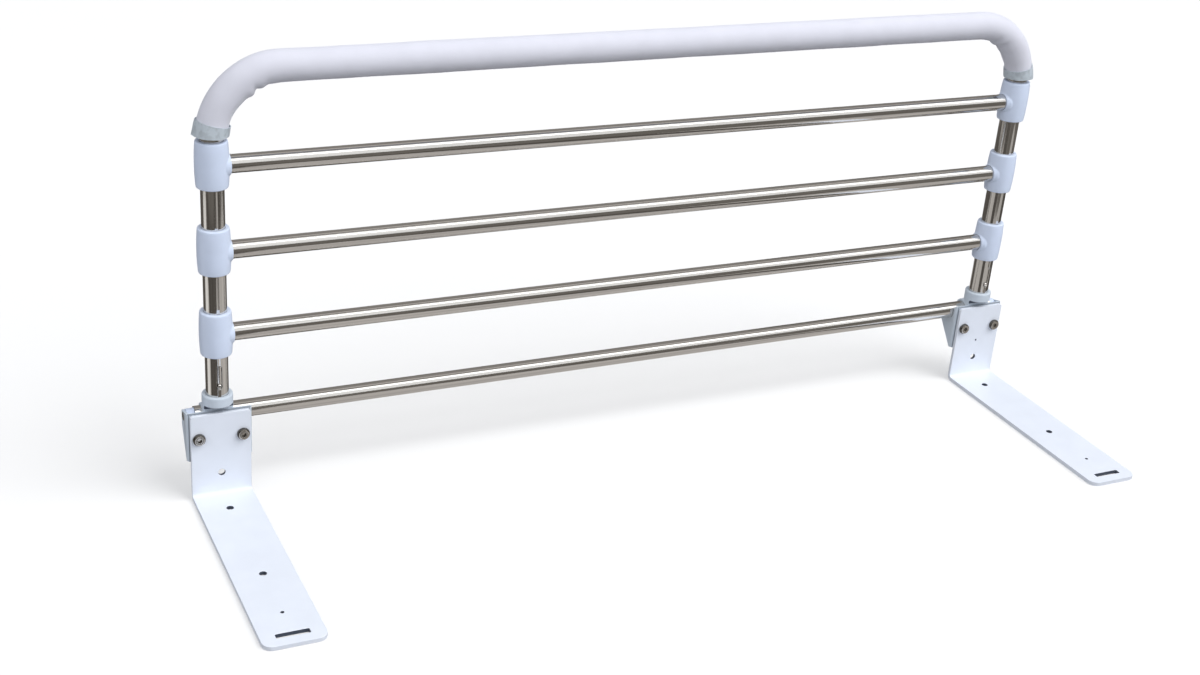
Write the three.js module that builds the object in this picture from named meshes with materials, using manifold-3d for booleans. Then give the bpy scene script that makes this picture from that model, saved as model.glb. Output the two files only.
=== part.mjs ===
// Folding bed guard rail: a bent steel hoop with three rails that folds outward about a
// fourth, fixed rail held between two L-shaped feet. The feet lie under the mattress.
// Millimetres, +Z up, X along the rails, -Y towards the bed. The standing guard is in the
// plane of the posts; everything is drawn from that plane and moved once, at the end.

import * as THREE from 'three';
import { mergeVertices } from 'three/addons/utils/BufferGeometryUtils.js';
import Module from 'manifold-3d';

const wasm = await Module();
wasm.setup();

// Driving dimensions of the guard

const postSpacing = 1026;
const postDiameter = 25;
const postWall = 1.2;
const railDiameter = 20;
const railWall = 1.2;
const bendRadius = 74;
const railPitch = 96;
const lowestRailGap = 100;
const railNames = ['lower', 'middle', 'upper'];

// Fixed rail that the guard folds about

const pivotHeight = 96;
const pivotRailOverhang = 24.6;

// Foam sleeve and the tape round its two ends

const foamWall = 4.5;
const tapeGap = 5;
const tapeHeight = 13;
const tapeThickness = 1.4;
const foamTuck = 0.8;

// Moulded fittings between post and rail

const fittingLength = 51;
const fittingRise = 2;
const fittingHeadroom = 0.5;
const fittingEndWall = 4;
const fittingMiddleWall = 5.5;
const fittingRimRadius = 2.2;
const fittingBossWall = 2;
const fittingBossStandOut = 0.5;

// Swivels: a collar round each post over a barrel round the fixed rail

const collarWall = 4.5;
const collarHeight = 12;
const neckRise = 3.5;
const barrelWall = 3;
const barrelLength = 34;

// Lock rods inside the posts, seen through a slot, each with a pin below and a peg in front

const slotRise = 9.5;
const slotLength = 28;
const slotWidth = 6;
const lockRodCover = 6;
const lockPinDiameter = 8;
const lockPinChamfer = 0.8;
const pegDiameter = 5;
const pegDepth = 9;
const pegStandOut = 1.2;

// Feet: a flat bar bent once, its front face a little ahead of the posts

const plateWidth = 67;
const plateThickness = 5;
const plateDrop = 1;
const plateFront = 13.4;
const footLength = 300;
const plateBendRadius = 4;
const footCornerRadius = 11;
const uprightCornerRadius = 3.5;
const bedHoleDiameter = 8;
const bedHoleHeight = 31;
const nearBedHoleReach = 34.6;
const farBedHoleInset = 128;
const tetherHoleDiameter = 4;
const tetherHoleInset = 54.4;
const pilotHoleDiameter = 2.5;
const pilotHoleHeight = 56;
const strapSlotLength = 35;
const strapSlotWidth = 7.5;
const strapSlotCornerRadius = 1.5;
const strapSlotInset = 16;

// Brackets: folded channels bolted behind the feet

const bracketOverlap = 3;
const bracketWall = 3;
const bracketRise = 10;
const bracketHeight = 59;
const bracketBendRadius = 4.5;
const cheekRoot = 1.6;
const hornWidth = 5.7;
const hornRise = 2;
const outerCheekRise = 6.5;
const innerShoulderDrop = 14;
const outerCheekReach = 6.5;
const outerShoulderDrop = 12;
const cheekCornerRadius = 3;

// Fasteners

const boltDiameter = 8;
const boltHeadDiameter = 14;
const boltHeadHeight = 4.4;
const boltHeadCrownDiameter = 11.2;
const boltSocketAcross = 5;
const boltSocketDepth = 2.6;
const boltEdge = 9;
const boltDrop = 19.5;
const boltTail = 1.6;
const washerDiameter = 16;
const washerThickness = 1.5;
const nutAcross = 13;
const nutHeight = 5;
const pivotScrewDiameter = 5;
const pivotScrewHeadDiameter = 9.4;
const pivotScrewSocketAcross = 3;
const pivotScrewSocketDepth = 1.6;
const pivotScrewGrip = 14;
const plugGrip = 18;
const plugShoulderDiameter = 16.4;
const grubDiameter = 5;
const grubStandBack = 0.6;
const grubSocketAcross = 2.5;
const grubSocketDepth = 2;
const fittingScrewDiameter = 3.2;
const fittingScrewHeadDiameter = 6.4;
const fittingScrewHeadHeight = 2;
const fittingScrewSlotWidth = 1;
const fittingScrewSlotDepth = 0.8;
const fittingScrewBite = 2.4;

// Clearances and drawing values

const clearance = 0.3;
const swivelClearance = 0.4;
const overrun = 2;
const weldTolerance = 0.0001;
const tubeSides = 20;
const roundSides = 16;
const screwSides = 10;
const arcSteps = 3;
const bendSteps = 8;
const hexagon = 6;

// Radii and widths that follow

const postRadius = postDiameter / 2;
const postBore = postRadius - postWall;
const railRadius = railDiameter / 2;
const postCentre = postSpacing / 2;
const pivotRailEnd = postCentre + pivotRailOverhang;
const foamRadius = postRadius + foamWall;
const fittingBore = postRadius + clearance;
const fittingEndRadius = postRadius + fittingEndWall;
const fittingMiddleRadius = postRadius + fittingMiddleWall;
const collarRadius = postRadius + collarWall;
const barrelRadius = railRadius + barrelWall;
const lockRodRadius = postBore - clearance;
const pegRadius = pegDiameter / 2;
const bracketWidth = plateWidth + bracketOverlap * 2;
const cheekInside = bracketWidth / 2 - bracketWall;
const boltRadius = boltDiameter / 2;
const boltGrip = plateThickness + bracketWall;
const boltOffset = plateWidth / 2 - boltEdge;

// Places from front to back, measured from the posts' plane

const footEnd = -(plateFront + footLength);
const plateBack = plateThickness - plateFront;
const webFront = plateBack;
const webBack = webFront + bracketWall;
const pivotSetback = webBack + swivelClearance + barrelRadius;
const innerCheekBack = pivotSetback + railRadius + clearance + hornWidth;
const outerCheekBack = pivotSetback + outerCheekReach;

// Heights above the floor

const bracketTop = pivotHeight + bracketRise;
const bracketBottom = bracketTop - bracketHeight;
const plateTop = bracketTop - plateDrop;
const boltHeight = pivotHeight - boltDrop;
const collarBottom = pivotHeight + barrelRadius + neckRise;
const collarTop = collarBottom + collarHeight;
const postFoot = collarBottom + clearance;
const pinTip = pivotHeight + railRadius + clearance;
const slotBottom = collarTop + slotRise;
const pegHeight = slotBottom + slotWidth / 2 + clearance;
const grubHeight = collarBottom + collarHeight / 2;
const lockRodTop = slotBottom + slotLength + lockRodCover;
const railHeights = railNames.map((name, index) => pivotHeight + lowestRailGap + index * railPitch);
const upperFittingTop = Math.max(...railHeights) + fittingRise + fittingLength / 2;
const bendStart = upperFittingTop + fittingHeadroom;
const bendCentreX = postCentre - bendRadius;
const tapeBottom = bendStart + tapeGap;

// Materials

const finish = (color, roughness, metalness) =>
  new THREE.MeshStandardMaterial({ color, roughness, metalness });

const materials = {
  stainless: () => finish(0x9a958f, 0.25, 1),
  foam: () => finish(0xe6e6f0, 0.9, 0),
  tape: () => finish(0xb9c4c8, 0.6, 0),
  fitting: () => finish(0xd5dceb, 0.4, 0),
  bracketCoat: () => finish(0xc3cdd8, 0.5, 0),
  footCoat: () => finish(0xe4ebf7, 0.45, 0),
  zinc: () => finish(0x7d766f, 0.35, 1),
};

// Helpers: closed geometry to solid and back, and solids placed on an axis

function solidOf(geometry) {
  const bare = geometry.clone();
  bare.deleteAttribute('normal');
  bare.deleteAttribute('uv');
  const welded = mergeVertices(bare, weldTolerance);
  const corners = welded.index.array;
  const triangles = [];
  for (let first = 0; first < corners.length; first += 3) {
    const [a, b, c] = corners.slice(first, first + 3);
    if (a !== b && b !== c && c !== a) {
      triangles.push(a, b, c);
    }
  }
  return new wasm.Manifold(new wasm.Mesh({
    numProp: 3,
    vertProperties: new Float32Array(welded.attributes.position.array),
    triVerts: new Uint32Array(triangles),
  }));
}

function geometryOf(solid) {
  const mesh = solid.getMesh();
  const geometry = new THREE.BufferGeometry();
  geometry.setAttribute('position', new THREE.BufferAttribute(new Float32Array(mesh.vertProperties), 3));
  geometry.setIndex(new THREE.BufferAttribute(new Uint32Array(mesh.triVerts), 1));
  geometry.computeVertexNormals();
  return geometry;
}

const join = (first, ...others) => others.reduce((sum, next) => sum.add(next), first);
const cut = (body, ...tools) => tools.reduce((rest, tool) => rest.subtract(tool), body);

const xAxis = new THREE.Vector3(1, 0, 0);
const yAxis = new THREE.Vector3(0, 1, 0);
const zAxis = new THREE.Vector3(0, 0, 1);

// Round bars along each axis. Those along Y start on a flat, so a hexagon there has a flat on top.
function barAlongZ(radius, from, to, sides = roundSides) {
  return new THREE.CylinderGeometry(radius, radius, to - from, sides)
    .rotateX(Math.PI / 2)
    .translate(0, 0, (from + to) / 2);
}

function barAlongX(radius, from, to, sides = roundSides) {
  return new THREE.CylinderGeometry(radius, radius, to - from, sides)
    .rotateZ(-Math.PI / 2)
    .translate((from + to) / 2, 0, 0);
}

function barAlongY(radius, from, to, sides = roundSides) {
  return new THREE.CylinderGeometry(radius, radius, to - from, sides)
    .rotateY(Math.PI / sides)
    .translate(0, (from + to) / 2, 0);
}

// A hexagonal prism is named by the distance across its flats.
const cornerRadius = (acrossFlats) => acrossFlats / 2 / Math.cos(Math.PI / hexagon);

// A turned piece: its outline gives radius and height, up the outside from the axis.
function turned(outline, sides = roundSides) {
  const points = outline.map(([radius, height]) => new THREE.Vector2(radius, height));
  return new THREE.LatheGeometry(points, sides).rotateX(Math.PI / 2);
}

// A plan outline in X and Y drawn upwards.
function extrudedUp(shape, from, to) {
  return new THREE.ExtrudeGeometry(shape, { depth: to - from, bevelEnabled: false, curveSegments: arcSteps })
    .translate(0, 0, from);
}

// A side outline in Y and Z drawn along X.
function extrudedAcross(shape, from, to) {
  return new THREE.ExtrudeGeometry(shape, { depth: to - from, bevelEnabled: false, curveSegments: arcSteps })
    .applyMatrix4(new THREE.Matrix4().makeBasis(yAxis, zAxis, xAxis))
    .translate(from, 0, 0);
}

// A front outline in X and Z drawn along Y.
function extrudedBack(shape, from, to) {
  return new THREE.ExtrudeGeometry(shape, { depth: to - from, bevelEnabled: false, curveSegments: arcSteps })
    .applyMatrix4(new THREE.Matrix4().makeBasis(xAxis, zAxis, yAxis.clone().negate()))
    .translate(0, to, 0);
}

// A rectangle whose lower and upper corners have their own radii.
function roundedRectangle(left, right, bottom, top, lowerRadius, upperRadius) {
  const shape = new THREE.Shape();
  shape.moveTo(left + lowerRadius, bottom);
  shape.lineTo(right - lowerRadius, bottom);
  if (lowerRadius > 0) {
    shape.absarc(right - lowerRadius, bottom + lowerRadius, lowerRadius, -Math.PI / 2, 0);
  }
  shape.lineTo(right, top - upperRadius);
  if (upperRadius > 0) {
    shape.absarc(right - upperRadius, top - upperRadius, upperRadius, 0, Math.PI / 2);
  }
  shape.lineTo(left + upperRadius, top);
  if (upperRadius > 0) {
    shape.absarc(left + upperRadius, top - upperRadius, upperRadius, Math.PI / 2, Math.PI);
  }
  shape.lineTo(left, bottom + lowerRadius);
  if (lowerRadius > 0) {
    shape.absarc(left + lowerRadius, bottom + lowerRadius, lowerRadius, Math.PI, Math.PI * 1.5);
  }
  return shape;
}

function ringShape(outer, inner) {
  const shape = new THREE.Shape().absarc(0, 0, outer, 0, Math.PI * 2);
  shape.holes.push(new THREE.Path().absarc(0, 0, inner, 0, Math.PI * 2, true));
  return shape;
}

// A straight tube along X, open at both ends.
function tubeAlongX(outer, inner, from, to) {
  return new THREE.ExtrudeGeometry(ringShape(outer, inner), {
    depth: to - from, bevelEnabled: false, curveSegments: tubeSides / 2,
  })
    .applyMatrix4(new THREE.Matrix4().makeBasis(yAxis, zAxis, xAxis))
    .translate(from, 0, 0);
}

// A centre line given by its own stations, so straight runs take one step each.
class StationPath extends THREE.Curve {
  constructor(stations) {
    super();
    this.stations = stations;
  }

  stationAt(share) {
    return this.stations[Math.round(share * (this.stations.length - 1))];
  }

  getPointAt(share, target = new THREE.Vector3()) {
    return target.copy(this.stationAt(share).point);
  }

  getTangentAt(share, target = new THREE.Vector3()) {
    return target.copy(this.stationAt(share).tangent);
  }
}

// A station on a bend: the angle is 0 where it leaves the post and a right angle at the top bar.
function bendStation(side, angle) {
  const reach = bendRadius * Math.cos(angle);
  return {
    point: new THREE.Vector3(side * (bendCentreX + reach), 0, bendStart + bendRadius * Math.sin(angle)),
    tangent: new THREE.Vector3(-side * Math.sin(angle), 0, Math.cos(angle)),
  };
}

// Everything on a bend shares its stations, so the tubes nest with one gap between their facets.
function bendStations(side, fromAngle, toAngle) {
  const angles = [fromAngle];
  for (let step = 0; step <= bendSteps; step += 1) {
    const angle = step / bendSteps * Math.PI / 2;
    if (angle > fromAngle && angle < toAngle) {
      angles.push(angle);
    }
  }
  angles.push(toAngle);
  return angles.map((angle) => bendStation(side, angle));
}

// The right-hand half runs down again, so its stations are turned end for end.
const reversed = (stations) => stations.reverse()
  .map(({ point, tangent }) => ({ point, tangent: tangent.negate() }));

function hoopStations(startAngle) {
  return [
    ...bendStations(-1, startAngle, Math.PI / 2),
    ...reversed(bendStations(1, startAngle, Math.PI / 2)),
  ];
}

function sweptTube(outer, inner, stations) {
  return new THREE.ExtrudeGeometry(ringShape(outer, inner), {
    steps: stations.length - 1,
    bevelEnabled: false,
    curveSegments: tubeSides / 2,
    extrudePath: new StationPath(stations),
  });
}

const angleAtHeight = (height) => Math.asin((height - bendStart) / bendRadius);

// The guard: hoop, rails, foam and tape

function hoopTube() {
  const up = { point: new THREE.Vector3(-postCentre, 0, postFoot), tangent: zAxis.clone() };
  const down = { point: new THREE.Vector3(postCentre, 0, postFoot), tangent: zAxis.clone().negate() };
  const tube = solidOf(sweptTube(postRadius, postBore, [up, ...hoopStations(0), down]));
  const tools = [];
  for (const side of [-1, 1]) {
    const slot = extrudedBack(
      roundedRectangle(
        -slotWidth / 2, slotWidth / 2, slotBottom, slotBottom + slotLength, slotWidth / 2, slotWidth / 2,
      ),
      -postRadius - overrun, -postBore / 2,
    );
    tools.push(slot.translate(side * postCentre, 0, 0));
    tools.push(grubHole().translate(side * postCentre, 0, 0));
    for (const height of railHeights) {
      const screwHole = barAlongY(
        fittingScrewDiameter / 2 + clearance, postBore / 2, postRadius + overrun, screwSides,
      );
      tools.push(screwHole.translate(side * postCentre, 0, height + fittingRise));
    }
  }
  return cut(tube, ...tools.map(solidOf));
}

function guardRail() {
  const end = postCentre - postRadius - clearance;
  return tubeAlongX(railRadius, railRadius - railWall, -end, end);
}

function foamSleeve() {
  const start = angleAtHeight(tapeBottom + foamTuck);
  return sweptTube(foamRadius, postRadius + clearance, hoopStations(start));
}

function tapeWrap(side) {
  const from = angleAtHeight(tapeBottom);
  const to = angleAtHeight(tapeBottom + tapeHeight);
  const bore = foamRadius + clearance;
  return sweptTube(bore + tapeThickness, bore, bendStations(side, from, to));
}

// A barrel-shaped fitting round the post with a socket for the rail on its inward side.
function railFitting(inward) {
  const half = fittingLength / 2;
  const rim = fittingRimRadius;
  const swell = fittingMiddleRadius - fittingEndRadius;
  const shoulderShare = 0.6;
  const flatShare = 0.3;
  const outside = [
    [fittingEndRadius - rim, -half],
    [fittingEndRadius, rim - half],
    [fittingEndRadius + swell * shoulderShare, -half * shoulderShare],
    [fittingMiddleRadius, -half * flatShare],
  ];
  const upper = outside.map(([radius, height]) => [radius, -height]).reverse();
  const outline = [...outside, ...upper, [fittingBore, half], [fittingBore, -half], outside[0]];
  const barrel = solidOf(turned(outline, tubeSides));
  const bossReach = fittingMiddleRadius + fittingBossStandOut;
  const inwardBar = (radius, reach) => solidOf(
    barAlongX(radius, 0, reach, tubeSides).rotateZ(inward < 0 ? Math.PI : 0).translate(0, 0, -fittingRise),
  );
  const boss = inwardBar(railRadius + fittingBossWall, bossReach);
  const socket = inwardBar(railRadius + clearance, bossReach + overrun);
  const postTool = solidOf(barAlongZ(fittingBore, -half - overrun, half + overrun, tubeSides));
  const screwHole = solidOf(barAlongY(
    fittingScrewDiameter / 2 + clearance, fittingBore / 2, fittingMiddleRadius + overrun, screwSides,
  ));
  return cut(join(barrel, boss), postTool, socket, screwHole);
}

// A pan-head screw from behind through the fitting into the post wall.
function fittingScrew() {
  const seat = fittingMiddleRadius + clearance;
  const tip = postRadius - fittingScrewBite;
  const shank = fittingScrewDiameter / 2;
  const head = fittingScrewHeadDiameter / 2;
  const top = seat + fittingScrewHeadHeight;
  const outline = [
    [0, tip], [shank, tip], [shank, seat], [head, seat],
    [head, seat + fittingScrewHeadHeight / 2], [head / 2, top], [0, top],
  ];
  const body = solidOf(turned(outline, screwSides).rotateX(-Math.PI / 2));
  const slot = solidOf(new THREE.BoxGeometry(
    fittingScrewHeadDiameter + overrun, fittingScrewSlotDepth * 2, fittingScrewSlotWidth,
  ).translate(0, top, 0));
  return cut(body, slot);
}

// The swivels and what they carry

function grubHole() {
  return barAlongY(
    grubDiameter / 2 + clearance, postBore / 2, collarRadius + overrun, screwSides,
  ).translate(0, 0, grubHeight);
}

function swivel() {
  const neckFront = pivotSetback - barrelRadius;
  const column = solidOf(barAlongZ(collarRadius, pivotHeight, collarTop, tubeSides));
  const barrel = solidOf(barAlongX(barrelRadius, -barrelLength / 2, barrelLength / 2, tubeSides)
    .translate(0, pivotSetback, pivotHeight));
  const front = solidOf(new THREE.BoxGeometry(
    collarRadius * 2 + overrun, collarRadius * 2, collarBottom - pivotHeight,
  ).translate(0, neckFront - collarRadius, (collarBottom + pivotHeight) / 2));
  const postSocket = solidOf(barAlongZ(postRadius + clearance, collarBottom, collarTop + overrun, tubeSides));
  const pinHole = solidOf(barAlongZ(lockPinDiameter / 2 + clearance, pivotHeight, collarTop));
  const railBore = solidOf(barAlongX(
    railRadius + clearance, -barrelLength / 2 - overrun, barrelLength / 2 + overrun, tubeSides,
  ).translate(0, pivotSetback, pivotHeight));
  return cut(join(column, barrel), front, postSocket, pinHole, railBore, solidOf(grubHole()));
}

function collarGrub() {
  const inner = lockRodRadius + grubStandBack;
  const outer = collarRadius - grubStandBack;
  const body = solidOf(barAlongY(grubDiameter / 2, inner, outer, screwSides));
  const socket = solidOf(barAlongY(
    cornerRadius(grubSocketAcross), outer - grubSocketDepth, outer + overrun, hexagon,
  ));
  return cut(body, socket).translate([0, 0, grubHeight]);
}

// The rod rests on the swivel inside the post, with its pin just above the fixed rail.
function lockRod() {
  const pin = lockPinDiameter / 2;
  const body = solidOf(turned([
    [0, pinTip], [pin - lockPinChamfer, pinTip], [pin, pinTip + lockPinChamfer], [pin, postFoot],
    [lockRodRadius, postFoot], [lockRodRadius, lockRodTop], [0, lockRodTop],
  ], tubeSides));
  const pegHole = solidOf(barAlongY(
    pegRadius + clearance, -lockRodRadius - overrun, pegDepth - lockRodRadius, screwSides,
  ).translate(0, 0, pegHeight));
  return cut(body, pegHole);
}

function lockPeg() {
  const inner = pegDepth - lockRodRadius - clearance;
  const edge = -postRadius;
  const front = -postRadius - pegStandOut;
  const outline = [
    [0, -inner], [pegRadius, -inner], [pegRadius, -edge], [pegRadius / 2, -front], [0, -front],
  ];
  return turned(outline, screwSides).rotateX(Math.PI / 2).translate(0, 0, pegHeight);
}

// The base: feet, brackets, fixed rail and fasteners

function footPlate(withPilotHole) {
  const half = plateWidth / 2;
  const outerBend = plateBendRadius + plateThickness;
  const profile = new THREE.Shape();
  profile.moveTo(footEnd, 0);
  profile.lineTo(plateBack - outerBend, 0);
  profile.absarc(plateBack - outerBend, outerBend, outerBend, -Math.PI / 2, 0);
  profile.lineTo(plateBack, plateTop);
  profile.lineTo(-plateFront, plateTop);
  profile.absarc(-plateFront - plateBendRadius, outerBend, plateBendRadius, 0, -Math.PI / 2, true);
  profile.lineTo(footEnd, plateThickness);
  const bar = solidOf(extrudedAcross(profile, -half, half));
  const plan = solidOf(extrudedUp(
    roundedRectangle(-half, half, footEnd, plateBack + overrun, footCornerRadius, 0),
    -overrun, plateTop + overrun,
  ));
  const front = solidOf(extrudedBack(
    roundedRectangle(-half, half, -overrun, plateTop, 0, uprightCornerRadius),
    footEnd - overrun, plateBack + overrun,
  ));
  const hole = (diameter, height) => solidOf(barAlongY(
    diameter / 2, -plateFront - overrun, plateBack + overrun, screwSides,
  ).translate(0, 0, height));
  const floorHole = (diameter, place) => solidOf(barAlongZ(
    diameter / 2, -overrun, plateThickness + overrun, screwSides,
  ).translate(0, place, 0));
  const strapSlot = solidOf(extrudedUp(
    roundedRectangle(
      -strapSlotLength / 2, strapSlotLength / 2, -strapSlotWidth / 2, strapSlotWidth / 2,
      strapSlotCornerRadius, strapSlotCornerRadius,
    ),
    -overrun, plateThickness + overrun,
  ).translate(0, footEnd + strapSlotInset, 0));
  const tools = [
    hole(bedHoleDiameter, bedHoleHeight),
    floorHole(bedHoleDiameter, -plateFront - nearBedHoleReach),
    floorHole(bedHoleDiameter, footEnd + farBedHoleInset),
    floorHole(tetherHoleDiameter, footEnd + tetherHoleInset),
    strapSlot,
    ...boltHoles(),
  ];
  if (withPilotHole) {
    tools.push(hole(pilotHoleDiameter, pilotHoleHeight));
  }
  return cut(bar.intersect(plan).intersect(front), ...tools);
}

function boltHoles() {
  return [-1, 1].map((side) => solidOf(
    barAlongY(boltRadius + clearance, -plateFront - overrun, webBack + overrun)
      .translate(side * boltOffset, 0, boltHeight),
  ));
}

// A cheek seen from the side: a slope from the web's foot up to its shoulder, and one from the
// web's top down to the cheek's own top.
function cheekShape(back, shoulder, top) {
  const shape = new THREE.Shape();
  shape.moveTo(webFront - overrun, bracketBottom);
  shape.lineTo(webBack + cheekRoot, bracketBottom);
  shape.lineTo(back, shoulder);
  shape.lineTo(back, top - cheekCornerRadius);
  shape.absarc(back - cheekCornerRadius, top - cheekCornerRadius, cheekCornerRadius, 0, Math.PI / 2);
  shape.lineTo(pivotSetback, top);
  shape.lineTo(webBack, bracketTop);
  shape.lineTo(webFront - overrun, bracketTop);
  return shape;
}

// An open-topped notch that the fixed rail lies in.
function railNotch(from, to) {
  const radius = railRadius + clearance;
  const height = bracketTop + overrun - pivotHeight;
  const seat = solidOf(barAlongX(radius, from, to, tubeSides).translate(0, pivotSetback, pivotHeight));
  const opening = solidOf(new THREE.BoxGeometry(to - from, radius * 2, height)
    .translate((from + to) / 2, pivotSetback, pivotHeight + height / 2));
  return join(seat, opening);
}

function bracket(inward) {
  const half = bracketWidth / 2;
  const far = half + overrun;
  const back = Math.max(innerCheekBack, outerCheekBack) + overrun;
  const channel = cut(
    solidOf(extrudedUp(
      roundedRectangle(-half, half, webFront, back, bracketBendRadius, 0), bracketBottom, bracketTop,
    )),
    solidOf(extrudedUp(
      roundedRectangle(
        -cheekInside, cheekInside, webBack, back + overrun, bracketBendRadius - bracketWall, 0,
      ),
      bracketBottom - overrun, bracketTop + overrun,
    )),
  );
  const span = (side) => (side < 0 ? [-far, overrun] : [-overrun, far]);
  const inner = solidOf(extrudedAcross(
    cheekShape(innerCheekBack, pivotHeight - innerShoulderDrop, pivotHeight + hornRise), ...span(inward),
  ));
  const outer = solidOf(extrudedAcross(
    cheekShape(outerCheekBack, pivotHeight - outerShoulderDrop, pivotHeight + outerCheekRise),
    ...span(-inward),
  ));
  const screwTool = solidOf(facing(-inward, turned(pivotScrewOutline(clearance, half + overrun))));
  const cheeks = channel.intersect(join(inner, outer));
  return cut(cheeks, railNotch(...span(inward)), screwTool, ...boltHoles());
}

// Turned pieces along the pivot are drawn upwards, laid along X and set on the pivot axis.
function facing(side, geometry) {
  return geometry.rotateY(side * Math.PI / 2).translate(0, pivotSetback, pivotHeight);
}

// A countersunk screw whose head is flush with the outer cheek; a hole for it is wider by the gap.
function pivotScrewOutline(gap, headTop) {
  const face = bracketWidth / 2;
  const shank = pivotScrewDiameter / 2;
  const head = pivotScrewHeadDiameter / 2;
  const inner = face - pivotScrewGrip;
  return [
    [0, inner - gap], [shank + gap, inner - gap], [shank + gap, face - (head - shank)],
    [head + gap, face], [head + gap, headTop], [0, headTop],
  ];
}

function pivotScrew(side) {
  const face = bracketWidth / 2;
  const body = solidOf(facing(side, turned(pivotScrewOutline(0, face))));
  const socket = solidOf(facing(side, barAlongZ(
    cornerRadius(pivotScrewSocketAcross), face - pivotScrewSocketDepth, face + overrun, hexagon,
  )));
  return cut(body, socket);
}

// A shouldered plug in the end of the fixed rail, held to the outer cheek by the screw.
function pivotPlug(side) {
  const spigot = railRadius - railWall - clearance;
  const railEnd = pivotRailOverhang + clearance;
  const shoulder = plugShoulderDiameter / 2;
  const outer = cheekInside - clearance;
  const body = solidOf(facing(side, turned([
    [0, railEnd - plugGrip], [spigot, railEnd - plugGrip], [spigot, railEnd], [shoulder, railEnd],
    [shoulder, outer], [0, outer],
  ], tubeSides)));
  const thread = solidOf(facing(side, turned(pivotScrewOutline(clearance, bracketWidth))));
  return cut(body, thread);
}

function pivotRail() {
  const tube = solidOf(tubeAlongX(railRadius, railRadius - railWall, -pivotRailEnd, pivotRailEnd)
    .translate(0, pivotSetback, pivotHeight));
  const lockHoles = [-1, 1].map((side) => solidOf(
    barAlongZ(lockPinDiameter / 2 + clearance, pivotHeight, pivotHeight + railDiameter)
      .translate(side * postCentre, 0, 0),
  ));
  return cut(tube, ...lockHoles);
}

// A button-head bolt from the bed side, with its nut and washer inside the channel.
function boltShape() {
  const face = plateFront + clearance;
  const tail = face - clearance - boltGrip - washerThickness - nutHeight - clearance * 2 - boltTail;
  const head = boltHeadDiameter / 2;
  const crown = boltHeadCrownDiameter / 2;
  const top = face + boltHeadHeight;
  const bulgeShare = 0.72;
  const body = solidOf(turned([
    [0, tail], [boltRadius, tail], [boltRadius, face], [head, face],
    [head, face + boltHeadHeight / 4],
    [crown + (head - crown) * bulgeShare, face + boltHeadHeight * bulgeShare],
    [crown, top], [0, top],
  ]));
  const socket = solidOf(barAlongZ(
    cornerRadius(boltSocketAcross), top - boltSocketDepth, top + overrun, hexagon,
  ));
  return cut(body, socket).rotate([90, 0, 0]);
}

function boltWasher() {
  const front = webBack + clearance;
  return cut(
    solidOf(barAlongY(washerDiameter / 2, front, front + washerThickness)),
    solidOf(barAlongY(boltRadius + clearance, front - overrun, front + washerThickness + overrun)),
  );
}

function boltNut() {
  const front = webBack + washerThickness + clearance * 2;
  return cut(
    solidOf(barAlongY(cornerRadius(nutAcross), front, front + nutHeight, hexagon)),
    solidOf(barAlongY(boltRadius + clearance, front - overrun, front + nutHeight + overrun)),
  );
}

// Assembly

const bedGuard = new THREE.Group();
const guard = new THREE.Group();
const base = new THREE.Group();
bedGuard.add(base, guard);

function place(group, name, piece, material, x = 0, y = 0, z = 0) {
  const geometry = piece.isBufferGeometry ? piece : geometryOf(piece);
  const mesh = new THREE.Mesh(geometry, material());
  mesh.name = name;
  mesh.position.set(x, y, z);
  group.add(mesh);
}

place(guard, 'hoop_tube', hoopTube(), materials.stainless);
place(guard, 'foam_sleeve', foamSleeve(), materials.foam);
railNames.forEach((name, index) => {
  place(guard, `${name}_rail`, guardRail(), materials.stainless, 0, 0, railHeights[index]);
});
place(base, 'pivot_rail', pivotRail(), materials.stainless);

for (const [sideName, side] of [['left', -1], ['right', 1]]) {
  const x = side * postCentre;
  const inward = -side;
  place(guard, `${sideName}_tape_wrap`, tapeWrap(side), materials.tape);
  railNames.forEach((name, index) => {
    const height = railHeights[index] + fittingRise;
    place(guard, `${sideName}_${name}_fitting`, railFitting(inward), materials.fitting, x, 0, height);
    place(guard, `${sideName}_${name}_fitting_screw`, fittingScrew(), materials.zinc, x, 0, height);
  });
  place(guard, `${sideName}_swivel`, swivel(), materials.bracketCoat, x);
  place(guard, `${sideName}_collar_grub`, collarGrub(), materials.zinc, x);
  place(guard, `${sideName}_lock_rod`, lockRod(), materials.stainless, x);
  place(guard, `${sideName}_lock_peg`, lockPeg(), materials.zinc, x);
  place(base, `${sideName}_foot_plate`, footPlate(side > 0), materials.footCoat, x);
  place(base, `${sideName}_bracket`, bracket(inward), materials.bracketCoat, x);
  place(base, `${sideName}_pivot_plug`, pivotPlug(side), materials.fitting, x);
  place(base, `${sideName}_pivot_screw`, pivotScrew(side), materials.zinc, x);
  for (const [boltName, boltSide] of [['outer', side], ['inner', inward]]) {
    const boltX = x + boltSide * boltOffset;
    place(base, `${sideName}_${boltName}_bolt`, boltShape(), materials.zinc, boltX, 0, boltHeight);
    place(base, `${sideName}_${boltName}_washer`, boltWasher(), materials.zinc, boltX, 0, boltHeight);
    place(base, `${sideName}_${boltName}_nut`, boltNut(), materials.zinc, boltX, 0, boltHeight);
  }
}

// The origin is on the floor, midway between the feet and midway from front to back.
bedGuard.position.y = -(footEnd + innerCheekBack) / 2;

export default bedGuard;
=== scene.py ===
"""Folding bed guard: the visible pieces, their finishes and the stage, round the packed frame.

Metres, in the frame's own axes: X along the rails, -Y towards the bed, Z up.
"""

import math

import bmesh
import bpy
from bpy.props import FloatProperty, FloatVectorProperty, PointerProperty
from bpy.types import Operator, Panel, PropertyGroup
from mathutils import Matrix, Vector, noise


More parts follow.
